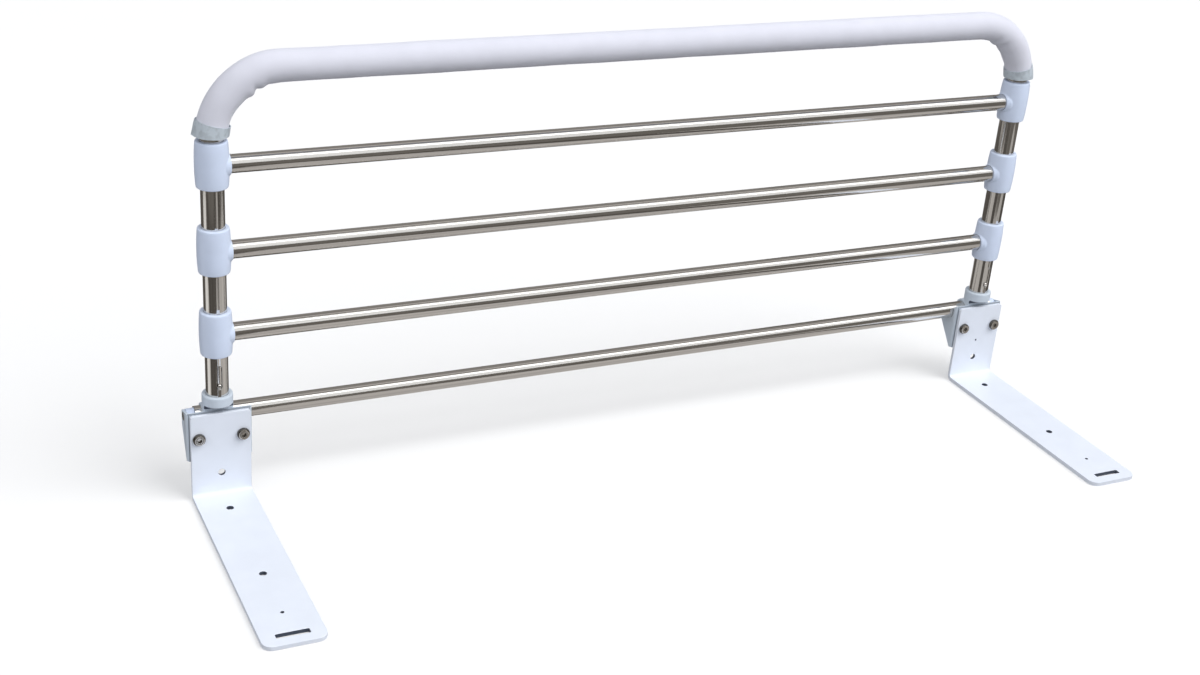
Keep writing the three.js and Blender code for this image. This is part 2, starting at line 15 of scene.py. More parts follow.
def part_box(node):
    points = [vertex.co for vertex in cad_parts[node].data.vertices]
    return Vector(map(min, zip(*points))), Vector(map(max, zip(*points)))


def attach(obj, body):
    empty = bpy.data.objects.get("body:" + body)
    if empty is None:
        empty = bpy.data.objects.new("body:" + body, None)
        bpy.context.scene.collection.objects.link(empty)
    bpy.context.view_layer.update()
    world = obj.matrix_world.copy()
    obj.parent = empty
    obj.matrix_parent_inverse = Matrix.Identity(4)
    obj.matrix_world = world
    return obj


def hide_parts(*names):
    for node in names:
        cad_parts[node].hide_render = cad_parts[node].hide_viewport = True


bl_info = {
    "name": "Folding bed guard",
    "version": (1, 0, 0),
    "blender": (4, 5, 0),
    "location": "3D View > Sidebar > Bed guard",
    "description": "Models and finishes a folding guard rail for the side of a bed",
    "category": "Add Mesh",
}

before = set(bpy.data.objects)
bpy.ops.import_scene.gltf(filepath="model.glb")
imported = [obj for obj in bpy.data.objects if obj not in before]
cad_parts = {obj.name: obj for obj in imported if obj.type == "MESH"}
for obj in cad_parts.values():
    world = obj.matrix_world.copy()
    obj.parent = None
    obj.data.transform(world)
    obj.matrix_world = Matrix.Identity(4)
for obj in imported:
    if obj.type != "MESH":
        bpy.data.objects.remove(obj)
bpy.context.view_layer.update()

MM = 0.001
SIDES = {"left": -1, "right": 1}
RAILS = ("lower", "middle", "upper")
X_AXIS, Y_AXIS, Z_AXIS = Vector((1, 0, 0)), Vector((0, 1, 0)), Vector((0, 0, 1))
QUARTER = math.pi / 2
CLEARANCE = 0.3 * MM
TINY = 0.01 * MM
# The bolts' places from an upright's middle line and the floor, and their holes, in millimetres.
BOLT_ACROSS, BOLT_HEIGHT, BOLT_HOLE = 24.5, 76.5, 8.6


# Sizes and colours

def linear(code):
    """An sRGB hex colour as linear red, green, blue and alpha."""
    shares = [int(code[place:place + 2], 16) / 255 for place in (1, 3, 5)]
    return (*(s / 12.92 if s <= 0.04045 else ((s + 0.055) / 1.055) ** 2.4 for s in shares), 1.0)


def size(name, millimetres, description):
    return FloatProperty(
        name=name, description=description, default=millimetres * MM, unit="LENGTH", precision=5,
    )


def colour(name, code, description):
    return FloatVectorProperty(
        name=name, description=description, default=linear(code), subtype="COLOR", size=4, min=0, max=1,
    )


class GuardTubeSizes(PropertyGroup):
    """Bent hoop and straight rails"""

    post: size("Post diameter", 25, "Outside of the bent tube")
    rail: size("Rail diameter", 20, "Outside of the straight rails")
    wall: size("Tube wall", 1.2, "Thickness of both tubes")
    bend: size("Bend radius", 74, "From the bend's centre to the tube's axis")
    slot_width: size("Slot width", 6, "Lock slot in the front of each post")
    slot_length: size("Slot length", 28, "Lock slot from end to end")
    slot_bottom: size("Slot bottom", 134, "Lower end of the lock slot above the floor")


class GuardFoamSizes(PropertyGroup):
    """Foam sleeve and the tape round its ends"""

    foam: size("Foam diameter", 34, "Outside of the foam sleeve")
    bore: size("Foam bore", 25.6, "Inside of the foam sleeve")
    crease: size("Crease depth", 2.6, "Deepest fold on the inside of a bend")
    tape_height: size("Tape height", 13, "Width of the tape band")
    tape_wall: size("Tape wall", 1.0, "Thickness of the wound tape")
    tape_flare: size("Tape flare", 1.8, "How far the band opens at its lower edge")


class GuardFittingSizes(PropertyGroup):
    """Moulded fittings between posts and rails"""

    length: size("Length", 51, "Height of the barrel")
    end: size("End diameter", 34, "Barrel at its rims")
    middle: size("Middle diameter", 36, "Barrel at its middle")
    rim: size("Rim radius", 1.4, "Rounding of the rims")
    rise: size("Rise", 2, "Barrel's middle above the rail's axis")
    boss_wall: size("Boss wall", 2.0, "Wall round the end of the rail")
    boss_stand_out: size("Boss stand-out", 0.4, "How far the boss stands out of the barrel")


class GuardSwivelSizes(PropertyGroup):
    """Swivels and the lock inside each post"""

    collar: size("Collar diameter", 34, "Collar round the post")
    collar_height: size("Collar height", 12, "Collar from its lower to its upper rim")
    barrel: size("Barrel diameter", 26, "Barrel round the fixed rail")
    barrel_length: size("Barrel length", 34, "Barrel along the fixed rail")
    pin: size("Pin diameter", 8, "Lock pin")
    peg: size("Peg diameter", 5, "Peg that lifts the lock rod")


class GuardFootSizes(PropertyGroup):
    """Bent feet and the brackets behind them"""

    thickness: size("Foot thickness", 5, "Thickness of the flat bar")
    bend: size("Foot bend radius", 4, "Inside radius of the bend")
    foot_corner: size("Foot corner", 11, "Corner radius at the free end")
    top_corner: size("Top corner", 3.5, "Corner radius at the top of the upright")
    edge: size("Edge", 1.0, "Rounding of the coated edges")
    seam: size("Seam", 0.9, "Open line between an upright and its bracket")
    wall: size("Bracket wall", 3, "Sheet of the bracket")


class GuardFinishes(PropertyGroup):
    """Colours of the finishes"""

    steel: colour("Polished steel", "#E4E2DF", "Buffed stainless tube")
    foam: colour("Foam", "#DFE0EB", "Closed-cell foam sleeve")
    tape: colour("Tape", "#C6D0D8", "Wound cloth tape")
    fitting: colour("Moulded fitting", "#DDE9FF", "Injection-moulded plastic")
    coat: colour("Grey coat", "#D0DBE7", "Powder coat on brackets and swivels")
    foot: colour("White coat", "#ECF2FD", "Powder coat on the feet")
    # Dark colour painted as shade on the coated pieces: in their holes and seams, under the collars and along
    # the brackets' edges.
    bore: colour("Painted shade colour", "#4A5262", "Dark colour painted where shade falls in holes, seams and recesses")
    fastener: colour("Fastener", "#CBC6BF", "Nickel-plated bolts and screws")


# Places read from the frame

def middle_of(node):
    low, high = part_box(node)
    return (low + high) / 2


def post_at(side):
    """The foot of a post's axis on the floor."""
    return Vector((middle_of(f"{side}_swivel").x, middle_of("hoop_tube").y, 0))


def pivot_at(side):
    """Where the fixed rail's axis passes a post."""
    rail = middle_of("pivot_rail")
    return Vector((post_at(side).x, rail.y, rail.z))


def front_of(node):
    """The middle of a piece's end towards the bed, and its depth."""
    low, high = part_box(node)
    middle = (low + high) / 2
    return Vector((middle.x, low.y, middle.z)), high.y - low.y


def inner_end_of(node, sign):
    """The middle of a piece's end towards the guard's middle, and its length along the rails."""
    low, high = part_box(node)
    middle = (low + high) / 2
    return Vector((low.x if sign > 0 else high.x, middle.y, middle.z)), high.x - low.x


def bend_height(tubes):
    """Where the posts end and the hoop's bends begin."""
    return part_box("hoop_tube")[1].z - tubes.post / 2 - tubes.bend


# Modelling helpers

def in_mm(*points):
    """Points given in millimetres, in metres."""
    return [tuple(value * MM for value in point) for point in points]


def begin(name, add, **settings):
    """Add a primitive at its place and open it for editing, with its object at the origin."""
    bpy.ops.object.select_all(action="DESELECT")
    add(**settings)
    piece = bpy.context.object
    piece.name = piece.data.name = name
    bpy.ops.object.transform_apply(location=True, rotation=True, scale=True)
    bpy.ops.object.mode_set(mode="EDIT")
    bpy.ops.mesh.select_all(action="SELECT")
    return piece


def close_up():
    """Merge doubles, turn the faces outwards and leave edit mode."""
    bpy.ops.mesh.select_mode(type="VERT")
    bpy.ops.mesh.select_all(action="SELECT")
    bpy.ops.mesh.remove_doubles(threshold=TINY)
    bpy.ops.mesh.normals_make_consistent(inside=False)
    bpy.ops.object.mode_set(mode="OBJECT")


def extrude(step):
    bpy.ops.mesh.extrude_region_move(TRANSFORM_OT_translate={"value": step})


def bend(centre, angle, steps):
    """Spin the selected ring about an axis along Y through a centre, upwards and over to the right."""
    bpy.ops.mesh.spin(steps=steps, angle=-angle, center=centre, axis=Y_AXIS)


def turned(name, outline, base, axis, steps):
    """Spin an outline of (radius, distance along the axis) about an axis through base."""
    out = axis.orthogonal().normalized()
    points = [base + out * radius + axis * along for radius, along in outline]
    piece = begin(
        name, bpy.ops.mesh.primitive_circle_add, vertices=3, radius=MM, location=points[0],
    )
    bpy.ops.mesh.merge(type="CENTER")
    for start, end in zip(points, points[1:]):
        extrude(end - start)
    bpy.ops.mesh.select_all(action="SELECT")
    bpy.ops.mesh.spin(steps=steps, angle=math.tau, center=base, axis=axis)
    close_up()
    return piece


def tilt_ring(piece, centre, angle):
    """Turn the ring being edited about an axis along Y through a centre."""
    turn = Matrix.Translation(centre) @ Matrix.Rotation(angle, 4, "Y") @ Matrix.Translation(-centre)
    mesh = bmesh.from_edit_mesh(piece.data)
    bmesh.ops.transform(mesh, matrix=turn, verts=mesh.verts)
    bmesh.update_edit_mesh(piece.data)


def flat_face(name, points):
    """A flat face with the given corners, left open for editing."""
    piece = begin(
        name, bpy.ops.mesh.primitive_circle_add, vertices=len(points), fill_type="NGON", radius=MM,
    )
    mesh = bmesh.from_edit_mesh(piece.data)
    for vertex, point in zip(mesh.verts, points):
        vertex.co = point
    bmesh.update_edit_mesh(piece.data)
    return piece


def prism(name, outline, depth):
    """Extrude a flat outline of points by a vector."""
    piece = flat_face(name, outline)
    extrude(depth)
    close_up()
    return piece


def arc(centre, radius, start, end, steps):
    """Points (first, second) of an arc in a plane, with angles in degrees."""
    angles = [math.radians(start + (end - start) * step / steps) for step in range(steps + 1)]
    return [(centre[0] + radius * math.cos(a), centre[1] + radius * math.sin(a)) for a in angles]


def choose(piece):
    bpy.ops.object.select_all(action="DESELECT")
    piece.select_set(True)
    bpy.context.view_layer.objects.active = piece


def modify(piece, kind, **settings):
    """Add a modifier with its settings and apply it."""
    choose(piece)
    modifier = piece.modifiers.new(kind.title(), kind)
    for name, value in settings.items():
        setattr(modifier, name, value)
    bpy.ops.object.modifier_apply(modifier=modifier.name)


def combine(piece, others, operation="DIFFERENCE"):
    """Cut or join other solids into a piece, and delete them."""
    for other in others:
        modify(piece, "BOOLEAN", object=other, operation=operation, solver="EXACT")
        bpy.data.objects.remove(other)
    return piece


def soften(piece, voxel, passes):
    """Remesh a moulded or cast solid so that its inner corners flow together."""
    modify(piece, "REMESH", mode="VOXEL", voxel_size=voxel)
    modify(piece, "SMOOTH", factor=0.5, iterations=passes)
    return piece


def round_edges(piece, width, degrees=40, segments=2):
    choose(piece)
    bpy.ops.object.shade_smooth()
    modify(
        piece, "BEVEL", width=width, segments=segments, limit_method="ANGLE",
        angle_limit=math.radians(degrees), harden_normals=True, miter_outer="MITER_ARC",
    )
    return piece


def choose_edges(piece, test):
    """Open a piece and select the edges that a test of their two ends picks out."""
    choose(piece)
    bpy.ops.object.mode_set(mode="EDIT")
    bpy.ops.mesh.select_mode(type="EDGE")
    bpy.ops.mesh.select_all(action="DESELECT")
    mesh = bmesh.from_edit_mesh(piece.data)
    for edge in mesh.edges:
        edge.select_set(test(*(vertex.co for vertex in edge.verts)))
    bmesh.update_edit_mesh(piece.data)


def bevel_edges(piece, test, width, segments):
    """Round the edges that a test of their two ends picks out."""
    choose_edges(piece, test)
    bpy.ops.mesh.bevel(offset=width, segments=segments, affect="EDGES")
    close_up()


def copy_of(piece, name, offset=Vector(), mirror_about=None):
    """A copy with its own mesh, moved, or mirrored about a plane across X."""
    twin = piece.copy()
    twin.data = piece.data.copy()
    twin.name = twin.data.name = name
    bpy.context.collection.objects.link(twin)
    if mirror_about is not None:
        twin.data.transform(Matrix.Translation((2 * mirror_about, 0, 0)) @ Matrix.Scale(-1, 4, X_AXIS))
        twin.data.flip_normals()
    twin.data.transform(Matrix.Translation(offset))
    return twin


def keep(piece, finish, body, slot, *nodes, degrees=35):
    """Shade a finished piece, give it its material and body, and let it stand for its CAD nodes."""
    choose(piece)
    bpy.ops.object.shade_smooth_by_angle(angle=math.radians(degrees))
    piece.data.materials.clear()
    piece.data.materials.append(finish)
    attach(piece, body)
    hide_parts(*nodes)
    return piece


def cylinder(name, radius, base, axis, length, steps=48):
    """A closed solid bar, for cuts and joins."""
    return turned(name, [(0, 0), (radius, 0), (radius, length), (0, length)], base, axis, steps)


def hexagon(name, across, base, axis, length):
    return cylinder(name, across / 2 / math.cos(math.pi / 6), base, axis, length, steps=6)


# Materials

def add_node(tree, kind, values=(), links=(), **settings):
    """Add a node, set its own settings and its inputs' values, and link outputs into its inputs."""
    made = tree.nodes.new(kind)
    for name, value in settings.items():
        setattr(made, name, value)
    for socket, value in dict(values).items():
        made.inputs[socket].default_value = value
    for socket, output in dict(links).items():
        tree.links.new(output, made.inputs[socket])
    return made


SOCKETS = {"ior": "IOR", "specular": "Specular IOR Level"}


def new_material(name, **values):
    """A material with one Principled shader, whose plain values are set on its own sockets."""
    material = bpy.data.materials.new(name)
    material.use_nodes = True
    shader = material.node_tree.nodes["Principled BSDF"]
    for socket, value in values.items():
        label = SOCKETS.get(socket, socket.replace("_", " ").title())
        shader.inputs[label].default_value = value
    return material, material.node_tree, shader


def object_place(tree):
    return add_node(tree, "ShaderNodeTexCoord").outputs["Object"]


def noise_over(tree, place, scale, detail):
    return add_node(
        tree, "ShaderNodeTexNoise", values={"Scale": scale, "Detail": detail}, links={"Vector": place},
    ).outputs["Fac"]


def darker(rgba, share):
    return (*(channel * share for channel in rgba[:3]), 1.0)


def shades(tree, output, dark, light, start=0.0, end=1.0):
    """A ramp between two colours over a pattern's output."""
    ramp = add_node(tree, "ShaderNodeValToRGB", links={"Fac": output})
    for element, position, rgba in zip(ramp.color_ramp.elements, (start, end), (dark, light)):
        element.position = position
        element.color = rgba
    return ramp.outputs["Color"]


def tint(tree, shader, output, rgba, dark_share, start=0.35, end=0.65):
    """Colour a surface from a darker shade up to its full colour over a pattern's output."""
    surface = shades(tree, output, darker(rgba, dark_share), rgba, start, end)
    tree.links.new(surface, shader.inputs["Base Color"])


def show_painted_shade(tree, shader, surface, shade_colour):
    """Colour a surface, with a dark colour as painted shade where the face attribute marks it."""
    marked = add_node(tree, "ShaderNodeAttribute", attribute_name="painted_shade")
    # In a colour mix the colours are the seventh and eighth inputs, and the third output.
    mix = add_node(
        tree, "ShaderNodeMix", data_type="RGBA", values={7: shade_colour},
        links={0: marked.outputs["Fac"], 6: surface},
    )
    tree.links.new(mix.outputs[2], shader.inputs["Base Color"])


def roughen(tree, shader, output, low, high, start=0.0, end=1.0):
    """Let a pattern's output set the roughness between two values."""
    rough = add_node(
        tree, "ShaderNodeMapRange", links={"Value": output},
        values={"From Min": start, "From Max": end, "To Min": low, "To Max": high},
    )
    tree.links.new(rough.outputs["Result"], shader.inputs["Roughness"])


def emboss(tree, shader, output, strength, distance):
    """Raise a pattern's output out of the surface as bump."""
    bump = add_node(
        tree, "ShaderNodeBump", values={"Strength": strength, "Distance": distance},
        links={"Height": output},
    )
    tree.links.new(bump.outputs["Normal"], shader.inputs["Normal"])


def polished_steel(colours, along):
    """Stainless tube, drawn and buffed lengthwise: a mirror with long fine lines along the tube, whose colour
    darkens along those lines, partly as buffing grain and partly as painted reflection.
    """
    material, tree, shader = new_material("Buffed_stainless_steel_" + along, metallic=1.0, roughness=0.12)
    stretch_share = 0.003
    stretch = {"x": (stretch_share, 1, 1), "z": (1, 1, stretch_share)}[along]
    lines = add_node(
        tree, "ShaderNodeMapping", values={"Scale": stretch}, links={"Vector": object_place(tree)},
    ).outputs[0]
    # Buffing lines 0.4 mm apart, coarser than real ones so that they show, in broader bands of 2.5 mm that
    # also darken the colour, partly as painted reflection.
    fine = noise_over(tree, lines, scale=2500.0, detail=3.0)
    broad = noise_over(tree, lines, scale=400.0, detail=2.0)
    streaks = add_node(
        tree, "ShaderNodeMix", values={"Factor": 0.6}, links={"A": fine, "B": broad},
    ).outputs["Result"]
    tint(tree, shader, streaks, tuple(colours.steel), dark_share=0.84, start=0.38, end=0.6)
    roughen(tree, shader, streaks, low=0.07, high=0.17, start=0.35, end=0.65)
    emboss(tree, shader, fine, strength=0.05, distance=0.05 * MM)
    return material


def foam_skin(colours):
    """Closed-cell foam, extruded: matte, with fine open cells on its skin and a faint mottling."""
    material, tree, shader = new_material(
        "Extruded_closed_cell_foam", roughness=0.85, sheen_weight=0.15, sheen_roughness=0.5,
    )
    place = object_place(tree)
    # Cells about 0.9 mm across.
    cells = add_node(tree, "ShaderNodeTexVoronoi", values={"Scale": 1100.0}, links={"Vector": place})
    mottle = noise_over(tree, place, scale=45.0, detail=4.0)
    tint(tree, shader, mottle, tuple(colours.foam), dark_share=0.965)
    emboss(tree, shader, cells.outputs["Distance"], strength=0.25, distance=0.2 * MM)
    return material


def wound_tape(colours):
    """Cloth tape wound by hand: satin, crinkled and a little blotchy."""
    material, tree, shader = new_material("Coated_cloth_tape", roughness=0.45)
    crinkle = noise_over(tree, object_place(tree), scale=160.0, detail=5.0)
    tint(tree, shader, crinkle, tuple(colours.tape), dark_share=0.84, start=0.4, end=0.56)
    emboss(tree, shader, crinkle, strength=0.5, distance=0.5 * MM)
    return material


def moulded_plastic(colours):
    """Polypropylene, injection-moulded: satin skin with a soft waviness from the mould."""
    material, tree, shader = new_material("Moulded_polypropylene", roughness=0.32, ior=1.49)
    flow = noise_over(tree, object_place(tree), scale=60.0, detail=2.0)
    tint(tree, shader, flow, tuple(colours.fitting), dark_share=0.97)
    roughen(tree, shader, flow, low=0.26, high=0.4)
    emboss(tree, shader, flow, strength=0.15, distance=0.3 * MM)
    return material


def powder_coat(name, coat, shade_colour, roughness):
    """Polyester powder coat, sprayed and baked: satin with a fine orange peel, with painted shade where
    marked.
    """
    material, tree, shader = new_material(name, roughness=roughness)
    place = object_place(tree)
    clouds = noise_over(tree, place, scale=30.0, detail=3.0)
    coated = shades(tree, clouds, darker(coat, share=0.97), coat, start=0.35, end=0.65)
    show_painted_shade(tree, shader, coated, shade_colour)
    # Orange peel bumps about 1.2 mm apart.
    peel = noise_over(tree, place, scale=800.0, detail=2.0)
    emboss(tree, shader, peel, strength=0.2, distance=0.15 * MM)
    return material


def plated_steel(colours):
    """Nickel-plated steel, cold-formed: grey metal with a faint grain, and painted shade, near black, where
    marked.
    """
    material, tree, shader = new_material("Nickel_plated_steel", metallic=1.0, roughness=0.32)
    grain = noise_over(tree, object_place(tree), scale=900.0, detail=3.0)
    plated = tuple(colours.fastener)
    plain = shades(tree, grain, darker(plated, share=0.8), plated, start=0.35, end=0.6)
    # Near black as painted shade in the marked recesses and sides.
    show_painted_shade(tree, shader, plain, darker(plated, share=0.08))
    roughen(tree, shader, grain, low=0.16, high=0.34)
    return material


MAKERS = {
    "steel_x": lambda colours: polished_steel(colours, "x"),
    "steel_z": lambda colours: polished_steel(colours, "z"),
    "foam": foam_skin,
    "tape": wound_tape,
    "fitting": moulded_plastic,
    # Both coats take the dark painted shade colour for their marked faces.
    "coat": lambda colours: powder_coat(
        "Grey_powder_coat", tuple(colours.coat), tuple(colours.bore), 0.38),
    "foot": lambda colours: powder_coat(
        "White_powder_coat", tuple(colours.foot), tuple(colours.bore), 0.4),
    "fastener": plated_steel,
}
made_finishes = {}


def finish_of(context, kind):
    """Each finish is made once and shared by the pieces that have it."""
    if kind not in made_finishes:
        made_finishes[kind] = MAKERS[kind](context.scene.guard_finishes)
    return made_finishes[kind]


# Tubes, foam and tape

class GUARD_OT_hoop(Operator):
    """Bend the hoop from one ring, cut its lock slots and give it its wall"""

    bl_idname = "guard.hoop"
    bl_label = "Hoop"

    def execute(self, context):
        tubes = context.scene.guard_tubes
        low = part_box("hoop_tube")[0]
        left, right = post_at("left"), post_at("right")
        height = bend_height(tubes)
        hoop = begin(
            "polished_hoop", bpy.ops.mesh.primitive_circle_add, vertices=64, radius=tubes.post / 2,
            location=(left.x, left.y, low.z),
        )
        extrude((0, 0, height - low.z))
        bend((left.x + tubes.bend, left.y, height), QUARTER, 24)
        extrude((right.x - left.x - 2 * tubes.bend, 0, 0))
        bend((right.x - tubes.bend, left.y, height), QUARTER, 24)
        extrude((0, 0, low.z - height))
        close_up()
        modify(hoop, "SOLIDIFY", thickness=tubes.wall, offset=-1)
        slots = []
        for side in SIDES:
            foot = post_at(side)
            half = tubes.slot_width / 2
            upper = tubes.slot_bottom + tubes.slot_length - half
            lower = tubes.slot_bottom + half
            outline = self.long_round(foot.x, lower, upper, half)
            points = [Vector((x, foot.y - tubes.post, z)) for x, z in outline]
            slots.append(prism("slot", points, (0, tubes.post * 0.8, 0)))
            slots.append(self.mouth(foot, lower, upper, half, tubes))
        combine(hoop, slots)
        round_edges(hoop, 0.25 * MM, degrees=50)
        keep(hoop, finish_of(context, "steel_z"), "guard", "stainless_tube", "hoop_tube")
        return {"FINISHED"}

    def long_round(self, x, lower, upper, half):
        """The outline of a slot with round ends."""
        return arc((x, upper), half, 0, 180, 12) + arc((x, lower), half, 180, 360, 12)

    def mouth(self, foot, lower, upper, half, tubes):
        """A cutter that narrows inwards and leaves a bright chamfer round a slot."""
        deep, high = 0.9 * MM, 1.6 * MM
        wide = half + deep + high
        outline = self.long_round(foot.x, lower, upper, wide)
        front = foot.y - tubes.post / 2 - high
        cutter = prism("mouth", [Vector((x, front, z)) for x, z in outline], (0, deep + high, 0))
        for vertex in cutter.data.vertices:
            if vertex.co.y > front + deep:
                centre = upper if vertex.co.z > (upper + lower) / 2 else lower
                vertex.co.x = foot.x + (vertex.co.x - foot.x) * half / wide
                vertex.co.z = centre + (vertex.co.z - centre) * half / wide
        return cutter


class GUARD_OT_rails(Operator):
    """Turn the three rails and the fixed rail as open tubes with rounded ends"""

    bl_idname = "guard.rails"
    bl_label = "Rails"

    def execute(self, context):
        tubes = context.scene.guard_tubes
        for name in (*RAILS, "pivot"):
            node = f"{name}_rail"
            low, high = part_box(node)
            outer, inner, length = tubes.rail / 2, tubes.rail / 2 - tubes.wall, high.x - low.x
            edge = 0.3 * MM
            outline = [
                (inner, 0), (outer - edge, 0), (outer, edge), (outer, length - edge),
                (outer - edge, length), (inner, length), (inner, 0),
            ]
            middle = middle_of(node)
            rail = turned(f"polished_{node}", outline, Vector((low.x, middle.y, middle.z)), X_AXIS, 64)
            if name == "pivot":
                radius = context.scene.guard_swivels.pin / 2 + CLEARANCE
                combine(rail, [
                    cylinder("pin_hole", radius, post_at(side) + Z_AXIS * middle.z, Z_AXIS, tubes.rail)
                    for side in SIDES])
            body = "base" if name == "pivot" else "guard"
            keep(rail, finish_of(context, "steel_x"), body, "stainless_tube", node)
        return {"FINISHED"}


# Where the foam and the tape begin above the foot of a bend.
FOAM_START, TAPE_START = 5.8 * MM, 5 * MM
# Folds on the inside of the left and the right bend: angle in degrees, share of the depth, width in degrees.
LEFT_FOLDS = [
    (20, -0.3, 9), (44, 0.35, 8), (55.5, 0.95, 5), (61.5, -0.9, 3.2), (68, 0.25, 4), (74.5, -0.35, 3.5)]
RIGHT_FOLDS = [(68, -0.7, 3.5), (62, 0.5, 4), (55, -0.4, 3.5), (46, 0.35, 6), (32, 0.5, 9)]

# The foam's broad and fine dents: how fine and how deep.
SWELLS = [(16.0, 0.5 * MM), (55.0, 0.15 * MM)]


def press_creases(foam, centre, side, folds, depth, radius):
    """Fold the foam on the inside of a bend."""
    for vertex in foam.data.vertices:
        x = (vertex.co.x - centre.x) * side
        z = vertex.co.z - centre.z
        if x < 0 or z < 0:
            continue
        place = math.degrees(math.atan2(z, x))
        reach = Vector((x, 0, z))
        axis_point = reach.normalized() * radius
        spoke = Vector((x, vertex.co.y - centre.y, z)) - axis_point
        out = spoke.normalized()
        inside = max(0.0, -out.dot(reach.normalized()))
        push = 0.0
        for angle, share, width in folds:
            push += share * math.exp(-((place - angle) / width) ** 2)
        moved = out * (push * depth * inside ** 1.5)
        vertex.co.x += moved.x * side
        vertex.co.y += moved.y
        vertex.co.z += moved.z


class GUARD_OT_foam(Operator):
    """Sweep the foam sleeve, then fold it on the inside of the bends and let it swell and dent a little"""

    bl_idname = "guard.foam"
    bl_label = "Foam sleeve"

    def execute(self, context):
        tubes, sizes = context.scene.guard_tubes, context.scene.guard_foam
        left, right = post_at("left"), post_at("right")
        height = bend_height(tubes)
        start = math.asin(FOAM_START / tubes.bend)
        straight_steps, bend_steps = 120, 44
        foam = begin(
            "foam_cover", bpy.ops.mesh.primitive_circle_add, vertices=96, radius=sizes.foam / 2,
            location=(left.x, left.y, height),
        )
        left_centre = Vector((left.x + tubes.bend, left.y, height))
        right_centre = Vector((right.x - tubes.bend, left.y, height))
        tilt_ring(foam, left_centre, start)
        bend(left_centre, QUARTER - start, bend_steps)
        straight = right_centre.x - left_centre.x
        extrude((straight, 0, 0))
        bend(right_centre, QUARTER - start, bend_steps)
        close_up()
        choose_edges(foam, lambda a, b: abs(a.x - b.x) > straight / 2)
        bpy.ops.mesh.subdivide(number_cuts=straight_steps - 1)
        close_up()
        modify(foam, "SOLIDIFY", thickness=(sizes.foam - sizes.bore) / 2, offset=-1)
        press_creases(foam, left_centre, -1, LEFT_FOLDS, sizes.crease, tubes.bend)
        press_creases(foam, right_centre, 1, RIGHT_FOLDS, sizes.crease, tubes.bend)
        directions = [vertex.normal.copy() for vertex in foam.data.vertices]
        for vertex, direction in zip(foam.data.vertices, directions):
            swell = sum(noise.noise(vertex.co * fineness) * depth for fineness, depth in SWELLS)
            vertex.co += direction * swell
        keep(foam, finish_of(context, "foam"), "guard", "foam", "foam_sleeve", degrees=50)
        return {"FINISHED"}


class GUARD_OT_tape(Operator):
    """Wind a band of tape round each end of the foam, opened a little at its lower edge"""

    bl_idname = "guard.tape"
    bl_label = "Tape wraps"

    def execute(self, context):
        tubes, sizes = context.scene.guard_tubes, context.scene.guard_foam
        height = bend_height(tubes)
        first = math.asin(TAPE_START / tubes.bend)
        last = math.asin((TAPE_START + sizes.tape_height) / tubes.bend)
        for side, sign in SIDES.items():
            foot = post_at(side)
            centre = Vector((foot.x - sign * tubes.bend, foot.y, height))
            band = begin(
                f"{side}_tape_band", bpy.ops.mesh.primitive_circle_add, vertices=96,
                radius=sizes.foam / 2 + 0.35 * MM, location=(foot.x, foot.y, height),
            )
            tilt_ring(band, centre, -sign * first)
            bend(centre, -sign * (last - first), 10)
            close_up()
            modify(band, "SOLIDIFY", thickness=sizes.tape_wall, offset=1)
            self.crumple(band, centre, sign, first, last, tubes.bend, sizes.tape_flare)
            keep(band, finish_of(context, "tape"), "guard", "tape", f"{side}_tape_wrap", degrees=25)
        return {"FINISHED"}

    def crumple(self, band, centre, sign, first, last, radius, flare):
        """Flatten the band into a few broad faces and open its lower edge."""
        depth, hollow_share = 0.7 * MM, -0.2
        for vertex in band.data.vertices:
            x = (vertex.co.x - centre.x) * sign
            z = vertex.co.z - centre.z
            share = min(max((math.atan2(z, x) - first) / (last - first), 0.0), 1.0)
            reach = Vector((x, 0, z)).normalized() * radius
            spoke = Vector((x, vertex.co.y - centre.y, z)) - reach
            around = math.atan2(spoke.y, spoke.dot(reach.normalized()))
            facets = 0.7 * math.cos(6 * around + 0.8 * sign) + 0.25 * math.cos(11 * around + 4 * share)
            open_up = flare * (1 - share) ** 1.5 * (0.3 + 0.6 * math.cos(around))
            moved = spoke.normalized() * (max(facets, hollow_share) * depth + open_up)
            vertex.co.x += moved.x * sign
            vertex.co.y += moved.y
            vertex.co.z += moved.z


# Fittings, swivels and lock

def barrel_outline(sizes, steps=16):
    """Half of the fitting seen from the side, from the lower pole to the upper one."""
    half, rim = sizes.length / 2, sizes.rim
    end, middle = sizes.end / 2, sizes.middle / 2
    lower = arc((end - rim, rim - half), rim, -90, 0, 5)
    sides = []
    for step in range(1, steps):
        along = -half + rim + (sizes.length - 2 * rim) * step / steps
        swell = 1 - abs(along / (half - rim)) ** 2.4
        sides.append((end + (middle - end) * swell, along))
    upper = arc((end - rim, half - rim), rim, 0, 90, 5)
    return [(0, -half), *lower, *sides, *upper, (0, half)]


